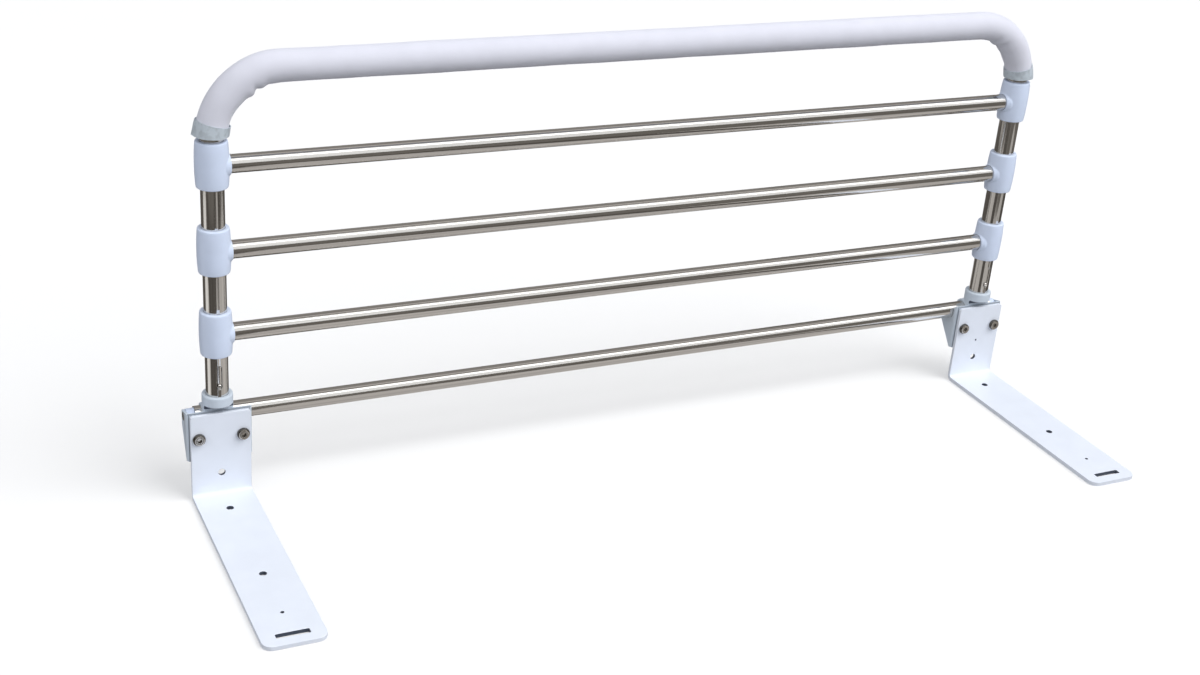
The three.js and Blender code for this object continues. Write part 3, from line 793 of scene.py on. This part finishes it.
class GUARD_OT_fittings(Operator):
    """Join a barrel and a boss into one moulding, smooth it, bore it, and set one at each rail's end"""

    bl_idname = "guard.fittings"
    bl_label = "Moulded fittings"

    def execute(self, context):
        tubes, sizes = context.scene.guard_tubes, context.scene.guard_fittings
        foot = post_at("left")
        rail = middle_of("lower_rail").z
        base = Vector((foot.x, foot.y, rail + sizes.rise))
        axis_point = Vector((foot.x, foot.y, rail))
        fitting = turned("fitting_master", barrel_outline(sizes), base, Z_AXIS, 72)
        boss_radius = tubes.rail / 2 + sizes.boss_wall
        boss_reach = sizes.middle / 2 + sizes.boss_stand_out
        # The boss widens by a flare inside the barrel, and its end is rounded.
        rounding, flare, flare_end = 0.9 * MM, 2 * MM, boss_reach - 5 * MM
        round_end = arc((boss_radius - rounding, boss_reach - rounding), rounding, 0, 90, 4)
        boss = turned("boss", [
            (0, 0), (boss_radius + flare, 0), (boss_radius + flare, flare_end), *round_end, (0, boss_reach),
        ], axis_point, X_AXIS, 64)
        combine(fitting, [boss], "UNION")
        soften(fitting, voxel=0.65 * MM, passes=4)
        bore = cylinder(
            "bore", tubes.post / 2 + CLEARANCE, base - Z_AXIS * sizes.length, Z_AXIS, 2 * sizes.length, 72,
        )
        socket = cylinder("socket", tubes.rail / 2 + CLEARANCE, axis_point, X_AXIS, sizes.length, 64)
        screw = cylinder("screw_hole", 1.9 * MM, base, Y_AXIS, sizes.length, 24)
        combine(fitting, [bore, socket, screw])
        finish = finish_of(context, "fitting")
        for side in SIDES:
            for name in RAILS:
                node = f"{side}_{name}_fitting"
                rise = Z_AXIS * (middle_of(f"{name}_rail").z - rail)
                offset = rise + Vector((post_at(side).x - foot.x, 0, 0))
                twin = copy_of(
                    fitting, f"moulded_{node}", offset, foot.x if side == "right" else None,
                )
                keep(twin, finish, "guard", "fitting_plastic", node, degrees=40)
        bpy.data.objects.remove(fitting)
        return {"FINISHED"}


class GUARD_OT_swivels(Operator):
    """Join collar, neck and barrel, cut the neck back in front, smooth and bore them"""

    bl_idname = "guard.swivels"
    bl_label = "Swivels"

    def execute(self, context):
        tubes, sizes = context.scene.guard_tubes, context.scene.guard_swivels
        foot, pivot = post_at("left"), pivot_at("left")
        low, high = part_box("left_swivel")
        collar_low = high.z - sizes.collar_height
        neck_front = pivot.y - sizes.barrel / 2
        radius = sizes.collar / 2
        edge = 0.8 * MM
        column = turned(
            "swivel_master",
            [(0, pivot.z), (radius, pivot.z), (radius, high.z - edge), (radius - edge, high.z), (0, high.z)],
            foot, Z_AXIS, 72,
        )
        half = sizes.barrel_length / 2
        barrel = turned(
            "barrel",
            [(0, -half), (sizes.barrel / 2 - edge, -half), (sizes.barrel / 2, edge - half),
             (sizes.barrel / 2, half - edge), (sizes.barrel / 2 - edge, half), (0, half)],
            pivot, X_AXIS, 64,
        )
        front = prism(
            "front",
            [Vector((foot.x - radius * 2, y, z)) for y, z in (
                (neck_front, low.z - radius), (neck_front, collar_low),
                (neck_front - radius * 2, collar_low), (neck_front - radius * 2, low.z - radius))],
            (radius * 4, 0, 0),
        )
        combine(column, [front])
        combine(column, [barrel], "UNION")
        soften(column, voxel=0.7 * MM, passes=5)
        post = cylinder(
            "post", tubes.post / 2 + CLEARANCE, foot + Z_AXIS * collar_low, Z_AXIS, sizes.collar, 72,
        )
        pin = cylinder("pin", sizes.pin / 2 + CLEARANCE, foot + Z_AXIS * pivot.z, Z_AXIS, sizes.collar, 32)
        rail = cylinder(
            "rail", tubes.rail / 2 + CLEARANCE, pivot - X_AXIS * sizes.collar, X_AXIS, sizes.collar * 2, 64,
        )
        grub_base = foot + Z_AXIS * (collar_low + sizes.collar_height / 2)
        grub = cylinder("grub", 2.8 * MM, grub_base, Y_AXIS, sizes.collar, 24)
        combine(column, [post, pin, rail, grub])
        barrel_top = pivot.z + sizes.barrel / 2
        # Painted shade under the collar's front and on the neck's front below it, where the gap under the
        # collar is in shade.
        paint_shade_on(column, lambda centre, normal: (
            centre.y < foot.y and barrel_top - edge < centre.z < collar_low + edge
            and (normal.z < -0.3 or normal.y < -0.7)), amount=1.0)
        for side in SIDES:
            offset = Vector((post_at(side).x - foot.x, 0, 0))
            twin = copy_of(column, f"coated_{side}_swivel", offset)
            keep(twin, finish_of(context, "coat"), "guard", "bracket_coat", f"{side}_swivel", degrees=40)
        bpy.data.objects.remove(column)
        return {"FINISHED"}


# Feet, brackets and fasteners

# Holes in an upright: across from its middle line, height above the floor and diameter, in millimetres.
UPRIGHT_HOLES = [(0, 31, 8), (-BOLT_ACROSS, BOLT_HEIGHT, BOLT_HOLE), (BOLT_ACROSS, BOLT_HEIGHT, BOLT_HOLE)]
RIGHT_ONLY_HOLE = (0, 56, 2.5)
# Holes in a foot: distance from its free end and diameter, in millimetres.
FOOT_HOLES = [(128, 8), (54.4, 4), (265.4, 8)]
STRAP_HALF_LENGTH, STRAP_HALF_WIDTH, STRAP_REACH, STRAP_CORNER = 17.5 * MM, 3.75 * MM, 16 * MM, 1.5 * MM


def shade_attribute(piece):
    """The face attribute that says where a piece gets painted shade, made when it is first asked for."""
    return piece.data.attributes.get("painted_shade") or piece.data.attributes.new("painted_shade", "FLOAT", "FACE")


def paint_shade_on(piece, test, amount=0.85):
    """Mark painted shade on the faces where a test of a face's centre and normal says so."""
    painted_shade = shade_attribute(piece)
    for face in piece.data.polygons:
        if test(face.center, face.normal):
            painted_shade.data[face.index].value = amount


class GUARD_OT_feet(Operator):
    """Bend each foot from a flat bar, round its corners, drill it and cut the strap slot"""

    bl_idname = "guard.feet"
    bl_label = "Feet"

    def execute(self, context):
        sizes = context.scene.guard_feet
        for side in SIDES:
            node = f"{side}_foot_plate"
            low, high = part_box(node)
            thick, inner = sizes.thickness, sizes.bend
            outer = inner + thick
            front = high.y - thick
            back = high.y - sizes.seam
            outline = [
                (low.y, 0), *arc((back - outer, outer), outer, -90, 0, 12), (back, high.z),
                (front, high.z), *arc((front - inner, outer), inner, 0, -90, 12), (low.y, thick),
            ]
            foot = prism(
                f"coated_{node}", [Vector((low.x, y, z)) for y, z in outline], (high.x - low.x, 0, 0),
            )
            bevel_edges(
                foot, lambda a, b: max(a.y, b.y) < low.y + TINY and abs(a.x - b.x) < TINY,
                sizes.foot_corner, 10,
            )
            bevel_edges(
                foot, lambda a, b: min(a.z, b.z) > high.z - TINY and abs(a.x - b.x) < TINY,
                sizes.top_corner, 6,
            )
            cutters, bores = self.holes(side, low, high, sizes)
            combine(foot, cutters)
            round_edges(foot, sizes.edge, degrees=50, segments=3)
            # Painted shade on the walls of the holes and the strap slot, where it is dark inside.
            self.paint_shade_in_bores(foot, bores)
            # Painted shade on the upright's rounded back edges, along the seam where it stands in front of
            # the bracket.
            paint_shade_on(foot, lambda centre, normal: (
                centre.y > back - sizes.edge and 0.1 < normal.y < 0.97 and centre.z > outer), amount=1.0)
            keep(foot, finish_of(context, "foot"), "base", "foot_coat", node, degrees=60)
        return {"FINISHED"}

    def paint_shade_in_bores(self, foot, bores):
        """Mark painted shade on the walls of the holes and round the strap slot; a bore is (centre, axis,
        reach).
        """
        painted_shade = shade_attribute(foot)
        for face in foot.data.polygons:
            for centre, axis, reach in bores:
                offset = face.center - centre
                across = offset - axis * offset.dot(axis)
                if abs(face.normal.dot(axis)) < 0.5 and all(abs(a) <= b for a, b in zip(across, reach)):
                    painted_shade.data[face.index].value = 1.0

    def holes(self, side, low, high, sizes):
        """Cutters for the screw holes, the bolt holes and the strap slot, and the place of each bore."""
        x = (low.x + high.x) / 2
        front, through = high.y - sizes.thickness * 2, sizes.thickness * 3
        in_upright = UPRIGHT_HOLES + ([RIGHT_ONLY_HOLE] if side == "right" else [])
        drilled = [
            (Vector((x + across * MM, front, height * MM)), Y_AXIS, diameter)
            for across, height, diameter in in_upright]
        drilled += [
            (Vector((x, low.y + reach * MM, -sizes.thickness)), Z_AXIS, diameter)
            for reach, diameter in FOOT_HOLES]
        cutters = [
            cylinder("hole", diameter / 2 * MM, base, axis, through, 40) for base, axis, diameter in drilled]
        bores = [(base, axis, Vector([diameter] * 3) * MM) for base, axis, diameter in drilled]
        middle = low.y + STRAP_REACH
        outline = []
        for angle, sx, sy in ((0, 1, 1), (90, -1, 1), (180, -1, -1), (270, 1, -1)):
            corner = (
                x + sx * (STRAP_HALF_LENGTH - STRAP_CORNER), middle + sy * (STRAP_HALF_WIDTH - STRAP_CORNER))
            outline += arc(corner, STRAP_CORNER, angle, angle + 90, 5)
        points = [Vector((a, b, -sizes.thickness)) for a, b in outline]
        cutters.append(prism("strap_slot", points, (0, 0, through)))
        slack = 1.5 * MM
        reach = Vector((STRAP_HALF_LENGTH + slack, STRAP_HALF_WIDTH + slack, STRAP_HALF_LENGTH))
        bores.append((Vector((x, middle, 0)), Z_AXIS, reach))
        return cutters, bores


class GUARD_OT_brackets(Operator):
    """Fold each bracket as a channel and cut its two cheeks, the rail's notch and the screw's seat"""

    bl_idname = "guard.brackets"
    bl_label = "Brackets"

    def execute(self, context):
        tubes, sizes = context.scene.guard_tubes, context.scene.guard_feet
        for side, sign in SIDES.items():
            node = f"{side}_bracket"
            low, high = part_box(node)
            wall, fold = sizes.wall, 4.5 * MM
            inside = fold - wall
            outer = [
                (low.x, high.y), *arc((low.x + fold, low.y + fold), fold, 180, 270, 6),
                *arc((high.x - fold, low.y + fold), fold, 270, 360, 6), (high.x, high.y),
            ]
            inner = [
                (high.x - wall, high.y), *arc((high.x - fold, low.y + fold), inside, 0, -90, 6),
                *arc((low.x + fold, low.y + fold), inside, 270, 180, 6), (low.x + wall, high.y),
            ]
            channel = prism(
                f"coated_{node}", [Vector((x, y, low.z)) for x, y in outer + inner], (0, 0, high.z - low.z),
            )
            combine(channel, self.cutters(sign, low, high, pivot_at(side), tubes, sizes))
            edge_band, skin = 1.3 * MM, wall / 2
            bevel_edges(
                channel, lambda a, b: min(a.z, b.z) > high.z - TINY and all(
                    min(end.x - low.x, high.x - end.x, end.y - low.y) < skin for end in (a, b)),
                edge_band, 3,
            )
            round_edges(channel, sizes.edge, degrees=50, segments=3)
            # Painted shade: a dark line on the coat along the rounded top front edge, and two strips on the
            # front where the upright's edges stand, for the shade in the gap between them.
            middle = (low.x + high.x) / 2
            line = (high.x - low.x) / 2 - 2.8 * MM
            paint_shade_on(channel, lambda centre, normal: (
                centre.y < low.y + edge_band and (
                    centre.z > high.z - edge_band and -0.99 < normal.y < -0.1
                    or abs(abs(centre.x - middle) - line) < 0.6 * MM and normal.y < -0.5)),
                amount=0.65)
            keep(channel, finish_of(context, "coat"), "base", "bracket_coat", node, degrees=60)
        return {"FINISHED"}

    def cutters(self, sign, low, high, pivot, tubes, sizes):
        """What is cut away behind the two cheeks, the notch for the rail and the bolts' holes."""
        wall = sizes.wall
        web, far = low.y + wall, high.y + 2 * wall
        root, corner = web + 1.6 * MM, 3 * MM
        middle = (low.x + high.x) / 2
        width = high.x - middle + wall
        cutters = []
        # Each cheek is (side, back, shoulder drop, rise), its drop and rise measured from the pivot.
        for way, back, drop, rise in (
                (-sign, high.y, 14 * MM, 2 * MM), (sign, pivot.y + 6.5 * MM, 12 * MM, 6.5 * MM)):
            top = pivot.z + rise
            outline = [
                (root, low.z), (back, pivot.z - drop), *arc((back - corner, top - corner), corner, 0, 90, 6),
                (pivot.y, top), (web, high.z), (web, high.z + wall), (far, high.z + wall),
                (far, low.z - wall), (root, low.z - wall),
            ]
            points = [Vector((middle, y, z)) for y, z in outline]
            cutters.append(prism("cheek_cut", points, (way * width, 0, 0)))
        radius = tubes.rail / 2 + CLEARANCE
        notch = arc((pivot.y, pivot.z), radius, 180, 360, 24)
        notch += [(pivot.y + radius, high.z + wall), (pivot.y - radius, high.z + wall)]
        points = [Vector((middle, y, z)) for y, z in notch]
        cutters.append(prism("notch", points, (-sign * width, 0, 0)))
        # The countersunk seat of the pivot screw, from inside the cheek outwards.
        face, hole, rim = width - wall, 2.8 * MM, 5 * MM
        seat = [
            (0, face - 14 * MM), (hole, face - 14 * MM), (hole, face - 2.2 * MM), (rim, face),
            (rim, face + wall), (0, face + wall),
        ]
        cutters.append(turned("screw_seat", seat, Vector((middle, pivot.y, pivot.z)), X_AXIS * sign, 40))
        for across in (-BOLT_ACROSS, BOLT_ACROSS):
            base = Vector((middle + across * MM, low.y - wall, BOLT_HEIGHT * MM))
            cutters.append(cylinder("bolt_hole", BOLT_HOLE / 2 * MM, base, Y_AXIS, wall * 3, 40))
        return cutters


class GUARD_OT_fasteners(Operator):
    """Turn and cut the bolts, nuts, washers, screws, plugs, grub screws and lock pieces"""

    bl_idname = "guard.fasteners"
    bl_label = "Fasteners and lock"

    def execute(self, context):
        self.finish = finish_of(context, "fastener")
        for side in SIDES:
            for place in ("outer", "inner"):
                self.bolt(f"{side}_{place}_bolt")
                self.washer(f"{side}_{place}_washer")
                self.nut(f"{side}_{place}_nut")
        for side, sign in SIDES.items():
            for name in RAILS:
                self.fitting_screw(f"{side}_{name}_fitting_screw")
            self.pivot_screw(f"{side}_pivot_screw", sign)
            self.pivot_plug(context, f"{side}_pivot_plug", sign)
            self.grub(f"{side}_collar_grub")
        for side in SIDES:
            self.lock(context, side)
        return {"FINISHED"}

    def plate(self, piece, body, node):
        keep(piece, self.finish, body, "plated_fastener", node, degrees=40)

    def bolt(self, node):
        """A low-head bolt: a flat face with a bevelled rim and a fine ring round the hexagon socket."""
        base, depth = front_of(node)
        end, head = depth / MM, 4.4
        bolt = turned(f"plated_{node}", in_mm(
            (0, 0), (3.5, 0), (3.7, 0.35), (4.1, 0.35), (4.3, 0), (5.5, 0), (5.9, 0.15), (6.6, 1),
            (6.95, 1.9), (7, 2.6), (7, 4.1), (6.7, head), (4, head), (4, end - 0.6), (3.4, end), (0, end)),
            base, Y_AXIS, 48)
        combine(bolt, [hexagon("socket", 5 * MM, base - Y_AXIS * MM, Y_AXIS, 3.6 * MM)])
        round_edges(bolt, 0.15 * MM, degrees=50)
        head_back = base.y + head * MM
        # Painted shade on the head's faces that do not face forward: the socket and ring walls, the bevelled
        # rim and the side.
        paint_shade_on(bolt, lambda centre, normal: normal.y > -0.8 and centre.y < head_back)
        self.plate(bolt, "base", node)

    def washer(self, node):
        base, depth = front_of(node)
        low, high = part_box(node)
        radius, edge, bore = (high.x - low.x) / 2, 0.25 * MM, BOLT_HOLE / 2 * MM
        outline = [
            (bore, 0), (radius - edge, 0), (radius, edge), (radius, depth - edge), (radius - edge, depth),
            (bore, depth), (bore, 0),
        ]
        self.plate(turned(f"plated_{node}", outline, base, Y_AXIS, 48), "base", node)

    def nut(self, node):
        base, depth = front_of(node)
        end = depth / MM
        nut = hexagon(f"plated_{node}", 13 * MM, base, Y_AXIS, depth)
        thread = cylinder("thread", BOLT_HOLE / 2 * MM, base - Y_AXIS * depth, Y_AXIS, depth * 3, 40)
        combine(nut, [thread])
        cone = turned("chamfer", in_mm(
            (0, -1), (5.9, -1), (7.5, 0.9), (7.5, end - 0.9), (5.9, end + 1), (0, end + 1)), base, Y_AXIS, 48)
        combine(nut, [cone], "INTERSECT")
        round_edges(nut, 0.15 * MM, degrees=50)
        self.plate(nut, "base", node)

    def fitting_screw(self, node):
        """A slotted screw behind a fitting."""
        base, depth = front_of(node)
        end = depth / MM
        screw = turned(f"plated_{node}", in_mm(
            (0, 0), (1.2, 0), (1.6, 0.6), (1.6, end - 2), (3.2, end - 2), (3.2, end - 1.3), (2.7, end - 0.6),
            (1.6, end - 0.1), (0, end)), base, Y_AXIS, 32)
        slot_front = base + Y_AXIS * (depth - 0.8 * MM)
        corners = in_mm((-4, 0, -0.5), (4, 0, -0.5), (4, 0, 0.5), (-4, 0, 0.5))
        slot = prism("slot", [slot_front + Vector(corner) for corner in corners], (0, 2 * MM, 0))
        combine(screw, [slot])
        self.plate(screw, "guard", node)

    def pivot_screw(self, node, sign):
        """A countersunk screw through the outer cheek."""
        base, length = inner_end_of(node, sign)
        end, axis = length / MM, X_AXIS * sign
        screw = turned(f"plated_{node}", in_mm(
            (0, 0), (2, 0), (2.5, 0.5), (2.5, end - 2.2), (4.7, end - 0.2), (4.5, end), (0, end)),
            base, axis, 40)
        combine(screw, [hexagon("socket", 3 * MM, base + axis * (length - 1.6 * MM), axis, 4 * MM)])
        self.plate(screw, "base", node)

    def pivot_plug(self, context, node, sign):
        """The stepped plug in the end of the fixed rail."""
        base, length = inner_end_of(node, sign)
        end, axis = length / MM, X_AXIS * sign
        plug = turned(f"moulded_{node}", in_mm(
            (0, 0), (7.9, 0), (8.5, 0.6), (8.5, 18), (8.2, 18), (8.2, end), (0, end)), base, axis, 40)
        combine(plug, [cylinder("bore", 2.8 * MM, base + axis * (length - 11.6 * MM), axis, 20 * MM, 32)])
        keep(plug, finish_of(context, "fitting"), "base", "fitting_plastic", node, degrees=40)

    def grub(self, node):
        base, depth = front_of(node)
        end = depth / MM
        grub = turned(f"plated_{node}", in_mm(
            (0, 0), (1.7, 0), (2.5, 0.8), (2.5, end - 0.4), (2.1, end), (0, end)), base, Y_AXIS, 32)
        combine(grub, [hexagon("socket", 2.5 * MM, base + Y_AXIS * (depth - 2 * MM), Y_AXIS, 4 * MM)])
        self.plate(grub, "guard", node)

    def lock(self, context, side):
        """A lock rod with a pin below and a peg in front."""
        node, peg_node = f"{side}_lock_rod", f"{side}_lock_peg"
        steel = finish_of(context, "steel_z")
        low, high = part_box(node)
        radius, pin, edge = 11 * MM, 4 * MM, 0.8 * MM
        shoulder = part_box("hoop_tube")[0].z
        outline = [
            (0, low.z), (pin - edge, low.z), (pin, low.z + edge), (pin, shoulder), (radius - edge, shoulder),
            (radius, shoulder + edge), (radius, high.z - edge), (radius - edge, high.z), (0, high.z),
        ]
        rod = turned(f"turned_{node}", outline, post_at(side), Z_AXIS, 48)
        base, depth = front_of(peg_node)
        base.x = post_at(side).x
        behind = 4 * MM
        combine(rod, [cylinder(
            "peg_hole", 2.8 * MM, base - Y_AXIS * behind, Y_AXIS, behind + depth + CLEARANCE, 32)])
        keep(rod, steel, f"{side}_lock", "stainless_tube", node, degrees=40)
        peg = turned(f"plated_{peg_node}", in_mm(
            (0, 0.5), (0.9, 0.5), (1.3, 0), (1.9, 0), (2.5, 0.7), (2.5, depth / MM), (0, depth / MM)),
            base, Y_AXIS, 40)
        keep(peg, steel, f"{side}_lock", "plated_fastener", peg_node, degrees=40)


# Stage

CAMERA_PLACE = (-0.89857, -1.51875, 1.01173)
CAMERA_YAW, CAMERA_PITCH, CAMERA_ROLL = 0.472113, 0.441617, 0.081858
FOCAL_PIXELS, PICTURE_PIXELS, SENSOR_WIDTH = 1713.086, 1200, 36
FLOOR_CLEAR_SHARE = 0.35
ROOM_HALF, ROOM_BACK, ROOM_HEIGHT, ROOM_STRENGTH = 3, 1.3, 2.6, 0.93
FENCE_RADIUS, FENCE_HEIGHT = 1.55, 0.85
STRIP_PLACE, STRIP_LENGTH, STRIP_WIDTH, STRIP_WATTS = (1.04, -0.74, 2.2), 2.6, 0.62, 9.0
# Suns: name, direction towards the lamp, strength, spread in degrees.
SUNS = [("Soft_front_right", (0.54, -0.48, 0.69), 1.85, 54), ("Soft_left", (-0.8, -0.35, 0.5), 0.6, 70)]
CARD_COLOURS = {
    "black": "#57534F", "dark": "#706C67", "dim": "#8F8B87", "grey": "#BFBBB7", "white": "#ECEAE7"}
# A ceiling, and on the floor, within the thickness of the feet, dark round grey:
# name, left, right, front, back, height and shade of each level card.
LEVEL_CARDS = [
    ("grey_ceiling", -ROOM_HALF, ROOM_HALF, 0.1, ROOM_BACK, ROOM_HEIGHT, "grey"),
    ("dark_floor", -1.8, 1.8, -1.8, ROOM_BACK, 2 * MM, "dark"),
    ("grey_floor", -1.1, 1.1, -0.5, 0.75, 3 * MM, "grey"),
]
# Sectors of the floor round a post: its side, start and end in degrees from the bed side to the right, shade.
SECTORS = [
    ("left", -165, -115, "black"), ("left", -112, -80, "white"), ("left", -72, 20, "black"),
    ("left", 112, 167, "black"), ("right", -175, -128, "black"), ("right", -46, -14, "black"),
    ("right", 58, 140, "black"),
]
SECTOR_NEAR, SECTOR_FAR, SECTOR_HEIGHT = 0.05, 1.2, 4 * MM


class GUARD_OT_stage(Operator):
    """Lay the floor, light it softly and set the camera where the picture was taken from"""

    bl_idname = "guard.stage"
    bl_label = "Floor, light and camera"

    def execute(self, context):
        self.floor()
        self.light(context)
        self.reflections()
        self.camera(context)
        context.scene.view_settings.view_transform = "Standard"
        return {"FINISHED"}

    def floor(self):
        """White floor that takes the shadow, gives back little light and lets a third of the view through."""
        floor = begin("studio_floor", bpy.ops.mesh.primitive_plane_add, size=40)
        bpy.ops.mesh.subdivide(number_cuts=3)
        bpy.ops.object.mode_set(mode="OBJECT")
        material, tree, shader = new_material("Matt_white_floor", roughness=0.9, specular=0.0)
        path = add_node(tree, "ShaderNodeLightPath")
        paper = shades(tree, path.outputs["Is Diffuse Ray"], linear("#FFFFFF"), linear("#8A8A8A"))
        tree.links.new(paper, shader.inputs["Base Color"])
        # What is seen through is the white room, or the guard where it hangs below the floor.
        seen = add_node(
            tree, "ShaderNodeMath", operation="MAXIMUM",
            links={0: path.outputs["Is Camera Ray"], 1: path.outputs["Is Glossy Ray"]},
        )
        share = add_node(
            tree, "ShaderNodeMath", operation="MULTIPLY", values={1: FLOOR_CLEAR_SHARE},
            links={0: seen.outputs[0]},
        )
        clear = add_node(tree, "ShaderNodeBsdfTransparent")
        mix = add_node(
            tree, "ShaderNodeMixShader",
            links={0: share.outputs[0], 1: shader.outputs[0], 2: clear.outputs[0]},
        )
        tree.links.new(mix.outputs[0], tree.nodes["Material Output"].inputs["Surface"])
        floor.data.materials.append(material)

    def light(self, context):
        """A pale room all round, a large soft lamp from the front right and a weak one from the left."""
        world = context.scene.world or bpy.data.worlds.new("Studio")
        context.scene.world = world
        world.use_nodes = True
        tree = world.node_tree
        tree.nodes.clear()
        path = add_node(tree, "ShaderNodeLightPath")
        place = add_node(tree, "ShaderNodeTexCoord").outputs["Generated"]
        height = add_node(tree, "ShaderNodeSeparateXYZ", links={"Vector": place}).outputs["Z"]
        soft = shades(tree, height, linear("#C8C9CD"), linear("#BABCC0"), 0.0, 0.8)
        room = add_node(
            tree, "ShaderNodeBackground", values={"Strength": ROOM_STRENGTH}, links={"Color": soft},
        )
        white = add_node(tree, "ShaderNodeBackground", values={"Color": linear("#FEFEFE"), "Strength": 1.0})
        mix = add_node(
            tree, "ShaderNodeMixShader",
            links={0: path.outputs["Is Diffuse Ray"], 1: white.outputs[0], 2: room.outputs[0]},
        )
        add_node(tree, "ShaderNodeOutputWorld", links={"Surface": mix.outputs[0]})
        for name, way, strength, spread in SUNS:
            sun = self.lamp("SUN", name, energy=strength, angle=math.radians(spread))
            sun.rotation_euler = Vector(way).to_track_quat("Z", "Y").to_euler()
            sun.visible_glossy = False

    def lamp(self, kind, name, **settings):
        bpy.ops.object.select_all(action="DESELECT")
        bpy.ops.object.light_add(type=kind)
        lamp = bpy.context.object
        lamp.name = lamp.data.name = name
        for setting, value in settings.items():
            setattr(lamp.data, setting, value)
        return lamp

    def reflections(self):
        """A strip of light above, and cards on and round the stage that only the tubes' mirror shows."""
        strip = self.lamp(
            "AREA", "Overhead_strip", shape="RECTANGLE", size=STRIP_LENGTH, size_y=STRIP_WIDTH,
            energy=STRIP_WATTS,
        )
        strip.location = STRIP_PLACE
        shade = {
            name: self.card_material(f"{name.title()}_card", code) for name, code in CARD_COLOURS.items()}
        fence = begin(
            "dark_fence", bpy.ops.mesh.primitive_cylinder_add, end_fill_type="NOTHING", vertices=64,
            radius=FENCE_RADIUS, depth=FENCE_HEIGHT, location=(0, 0, FENCE_HEIGHT / 2),
        )
        bpy.ops.object.mode_set(mode="OBJECT")
        self.only_in_mirrors(fence, shade["dark"])
        corners = ((-ROOM_HALF, 0), (ROOM_HALF, 0), (ROOM_HALF, ROOM_HEIGHT), (-ROOM_HALF, ROOM_HEIGHT))
        self.card("dim_backdrop", [(x, ROOM_BACK, z) for x, z in corners], shade["dim"])
        for name, left, right, front, back, height, finish in LEVEL_CARDS:
            corners = ((left, front), (right, front), (right, back), (left, back))
            self.card(name, [(x, y, height) for x, y in corners], shade[finish])
        for side, start, end, finish in SECTORS:
            foot = post_at(side) + Z_AXIS * SECTOR_HEIGHT
            corners = [foot + self.spoke(angle) * distance for angle, distance in (
                (start, SECTOR_NEAR), (start, SECTOR_FAR), (end, SECTOR_FAR), (end, SECTOR_NEAR))]
            self.card(f"{side}_sector", corners, shade[finish])

    def spoke(self, angle):
        """The level direction at an angle in degrees, from the bed side to the right."""
        way = math.radians(angle)
        return Vector((math.sin(way), -math.cos(way), 0))

    def card_material(self, name, code):
        material, _, shader = new_material(name, roughness=1.0, specular=0.0, emission_strength=1.0)
        shader.inputs["Base Color"].default_value = (0, 0, 0, 1)
        shader.inputs["Emission Color"].default_value = linear(code)
        material.cycles.emission_sampling = "NONE"
        return material

    def card(self, name, points, material):
        piece = flat_face(name, points)
        bpy.ops.object.mode_set(mode="OBJECT")
        self.only_in_mirrors(piece, material)

    def only_in_mirrors(self, piece, material):
        piece.data.materials.append(material)
        piece.visible_camera = piece.visible_diffuse = piece.visible_shadow = False
        piece.visible_transmission = piece.visible_volume_scatter = False

    def camera(self, context):
        level_share, yaw = math.cos(CAMERA_PITCH), CAMERA_YAW
        forward = Vector((
            math.sin(yaw) * level_share, math.cos(yaw) * level_share, -math.sin(CAMERA_PITCH)))
        right = Vector((math.cos(yaw), -math.sin(yaw), 0))
        up = right.cross(forward)
        tilted_right = right * math.cos(CAMERA_ROLL) + up * math.sin(CAMERA_ROLL)
        tilted_up = up * math.cos(CAMERA_ROLL) - right * math.sin(CAMERA_ROLL)
        bpy.ops.object.camera_add(location=CAMERA_PLACE)
        camera = context.object
        turn = Matrix((tilted_right, tilted_up, -forward)).transposed()
        camera.rotation_euler = turn.to_euler()
        camera.data.sensor_width = SENSOR_WIDTH
        camera.data.lens = FOCAL_PIXELS / PICTURE_PIXELS * SENSOR_WIDTH
        context.scene.camera = camera


OPERATORS = (
    GUARD_OT_hoop, GUARD_OT_rails, GUARD_OT_foam, GUARD_OT_tape, GUARD_OT_fittings, GUARD_OT_swivels,
    GUARD_OT_feet, GUARD_OT_brackets, GUARD_OT_fasteners, GUARD_OT_stage,
)
GROUPS = {
    "guard_tubes": GuardTubeSizes,
    "guard_foam": GuardFoamSizes,
    "guard_fittings": GuardFittingSizes,
    "guard_swivels": GuardSwivelSizes,
    "guard_feet": GuardFootSizes,
    "guard_finishes": GuardFinishes,
}


class GUARD_PT_panel(Panel):
    """Sizes, colours and the steps that build the guard"""

    bl_idname = "GUARD_PT_panel"
    bl_label = "Bed guard"
    bl_space_type = "VIEW_3D"
    bl_region_type = "UI"
    bl_category = "Bed guard"

    def draw(self, context):
        for name, group in GROUPS.items():
            box = self.layout.box()
            box.label(text=group.__doc__)
            for prop in group.__annotations__:
                box.prop(getattr(context.scene, name), prop)
        for operator in OPERATORS:
            self.layout.operator(operator.bl_idname)


def register():
    for made in (*GROUPS.values(), *OPERATORS, GUARD_PT_panel):
        bpy.utils.register_class(made)
    for name, group in GROUPS.items():
        setattr(bpy.types.Scene, name, PointerProperty(type=group))


def unregister():
    for name in GROUPS:
        delattr(bpy.types.Scene, name)
    for made in reversed((*GROUPS.values(), *OPERATORS, GUARD_PT_panel)):
        bpy.utils.unregister_class(made)


def main():
    register()
    for operator in OPERATORS:
        module, name = operator.bl_idname.split(".")
        getattr(getattr(bpy.ops, module), name)()


if __name__ == "__main__":
    main()
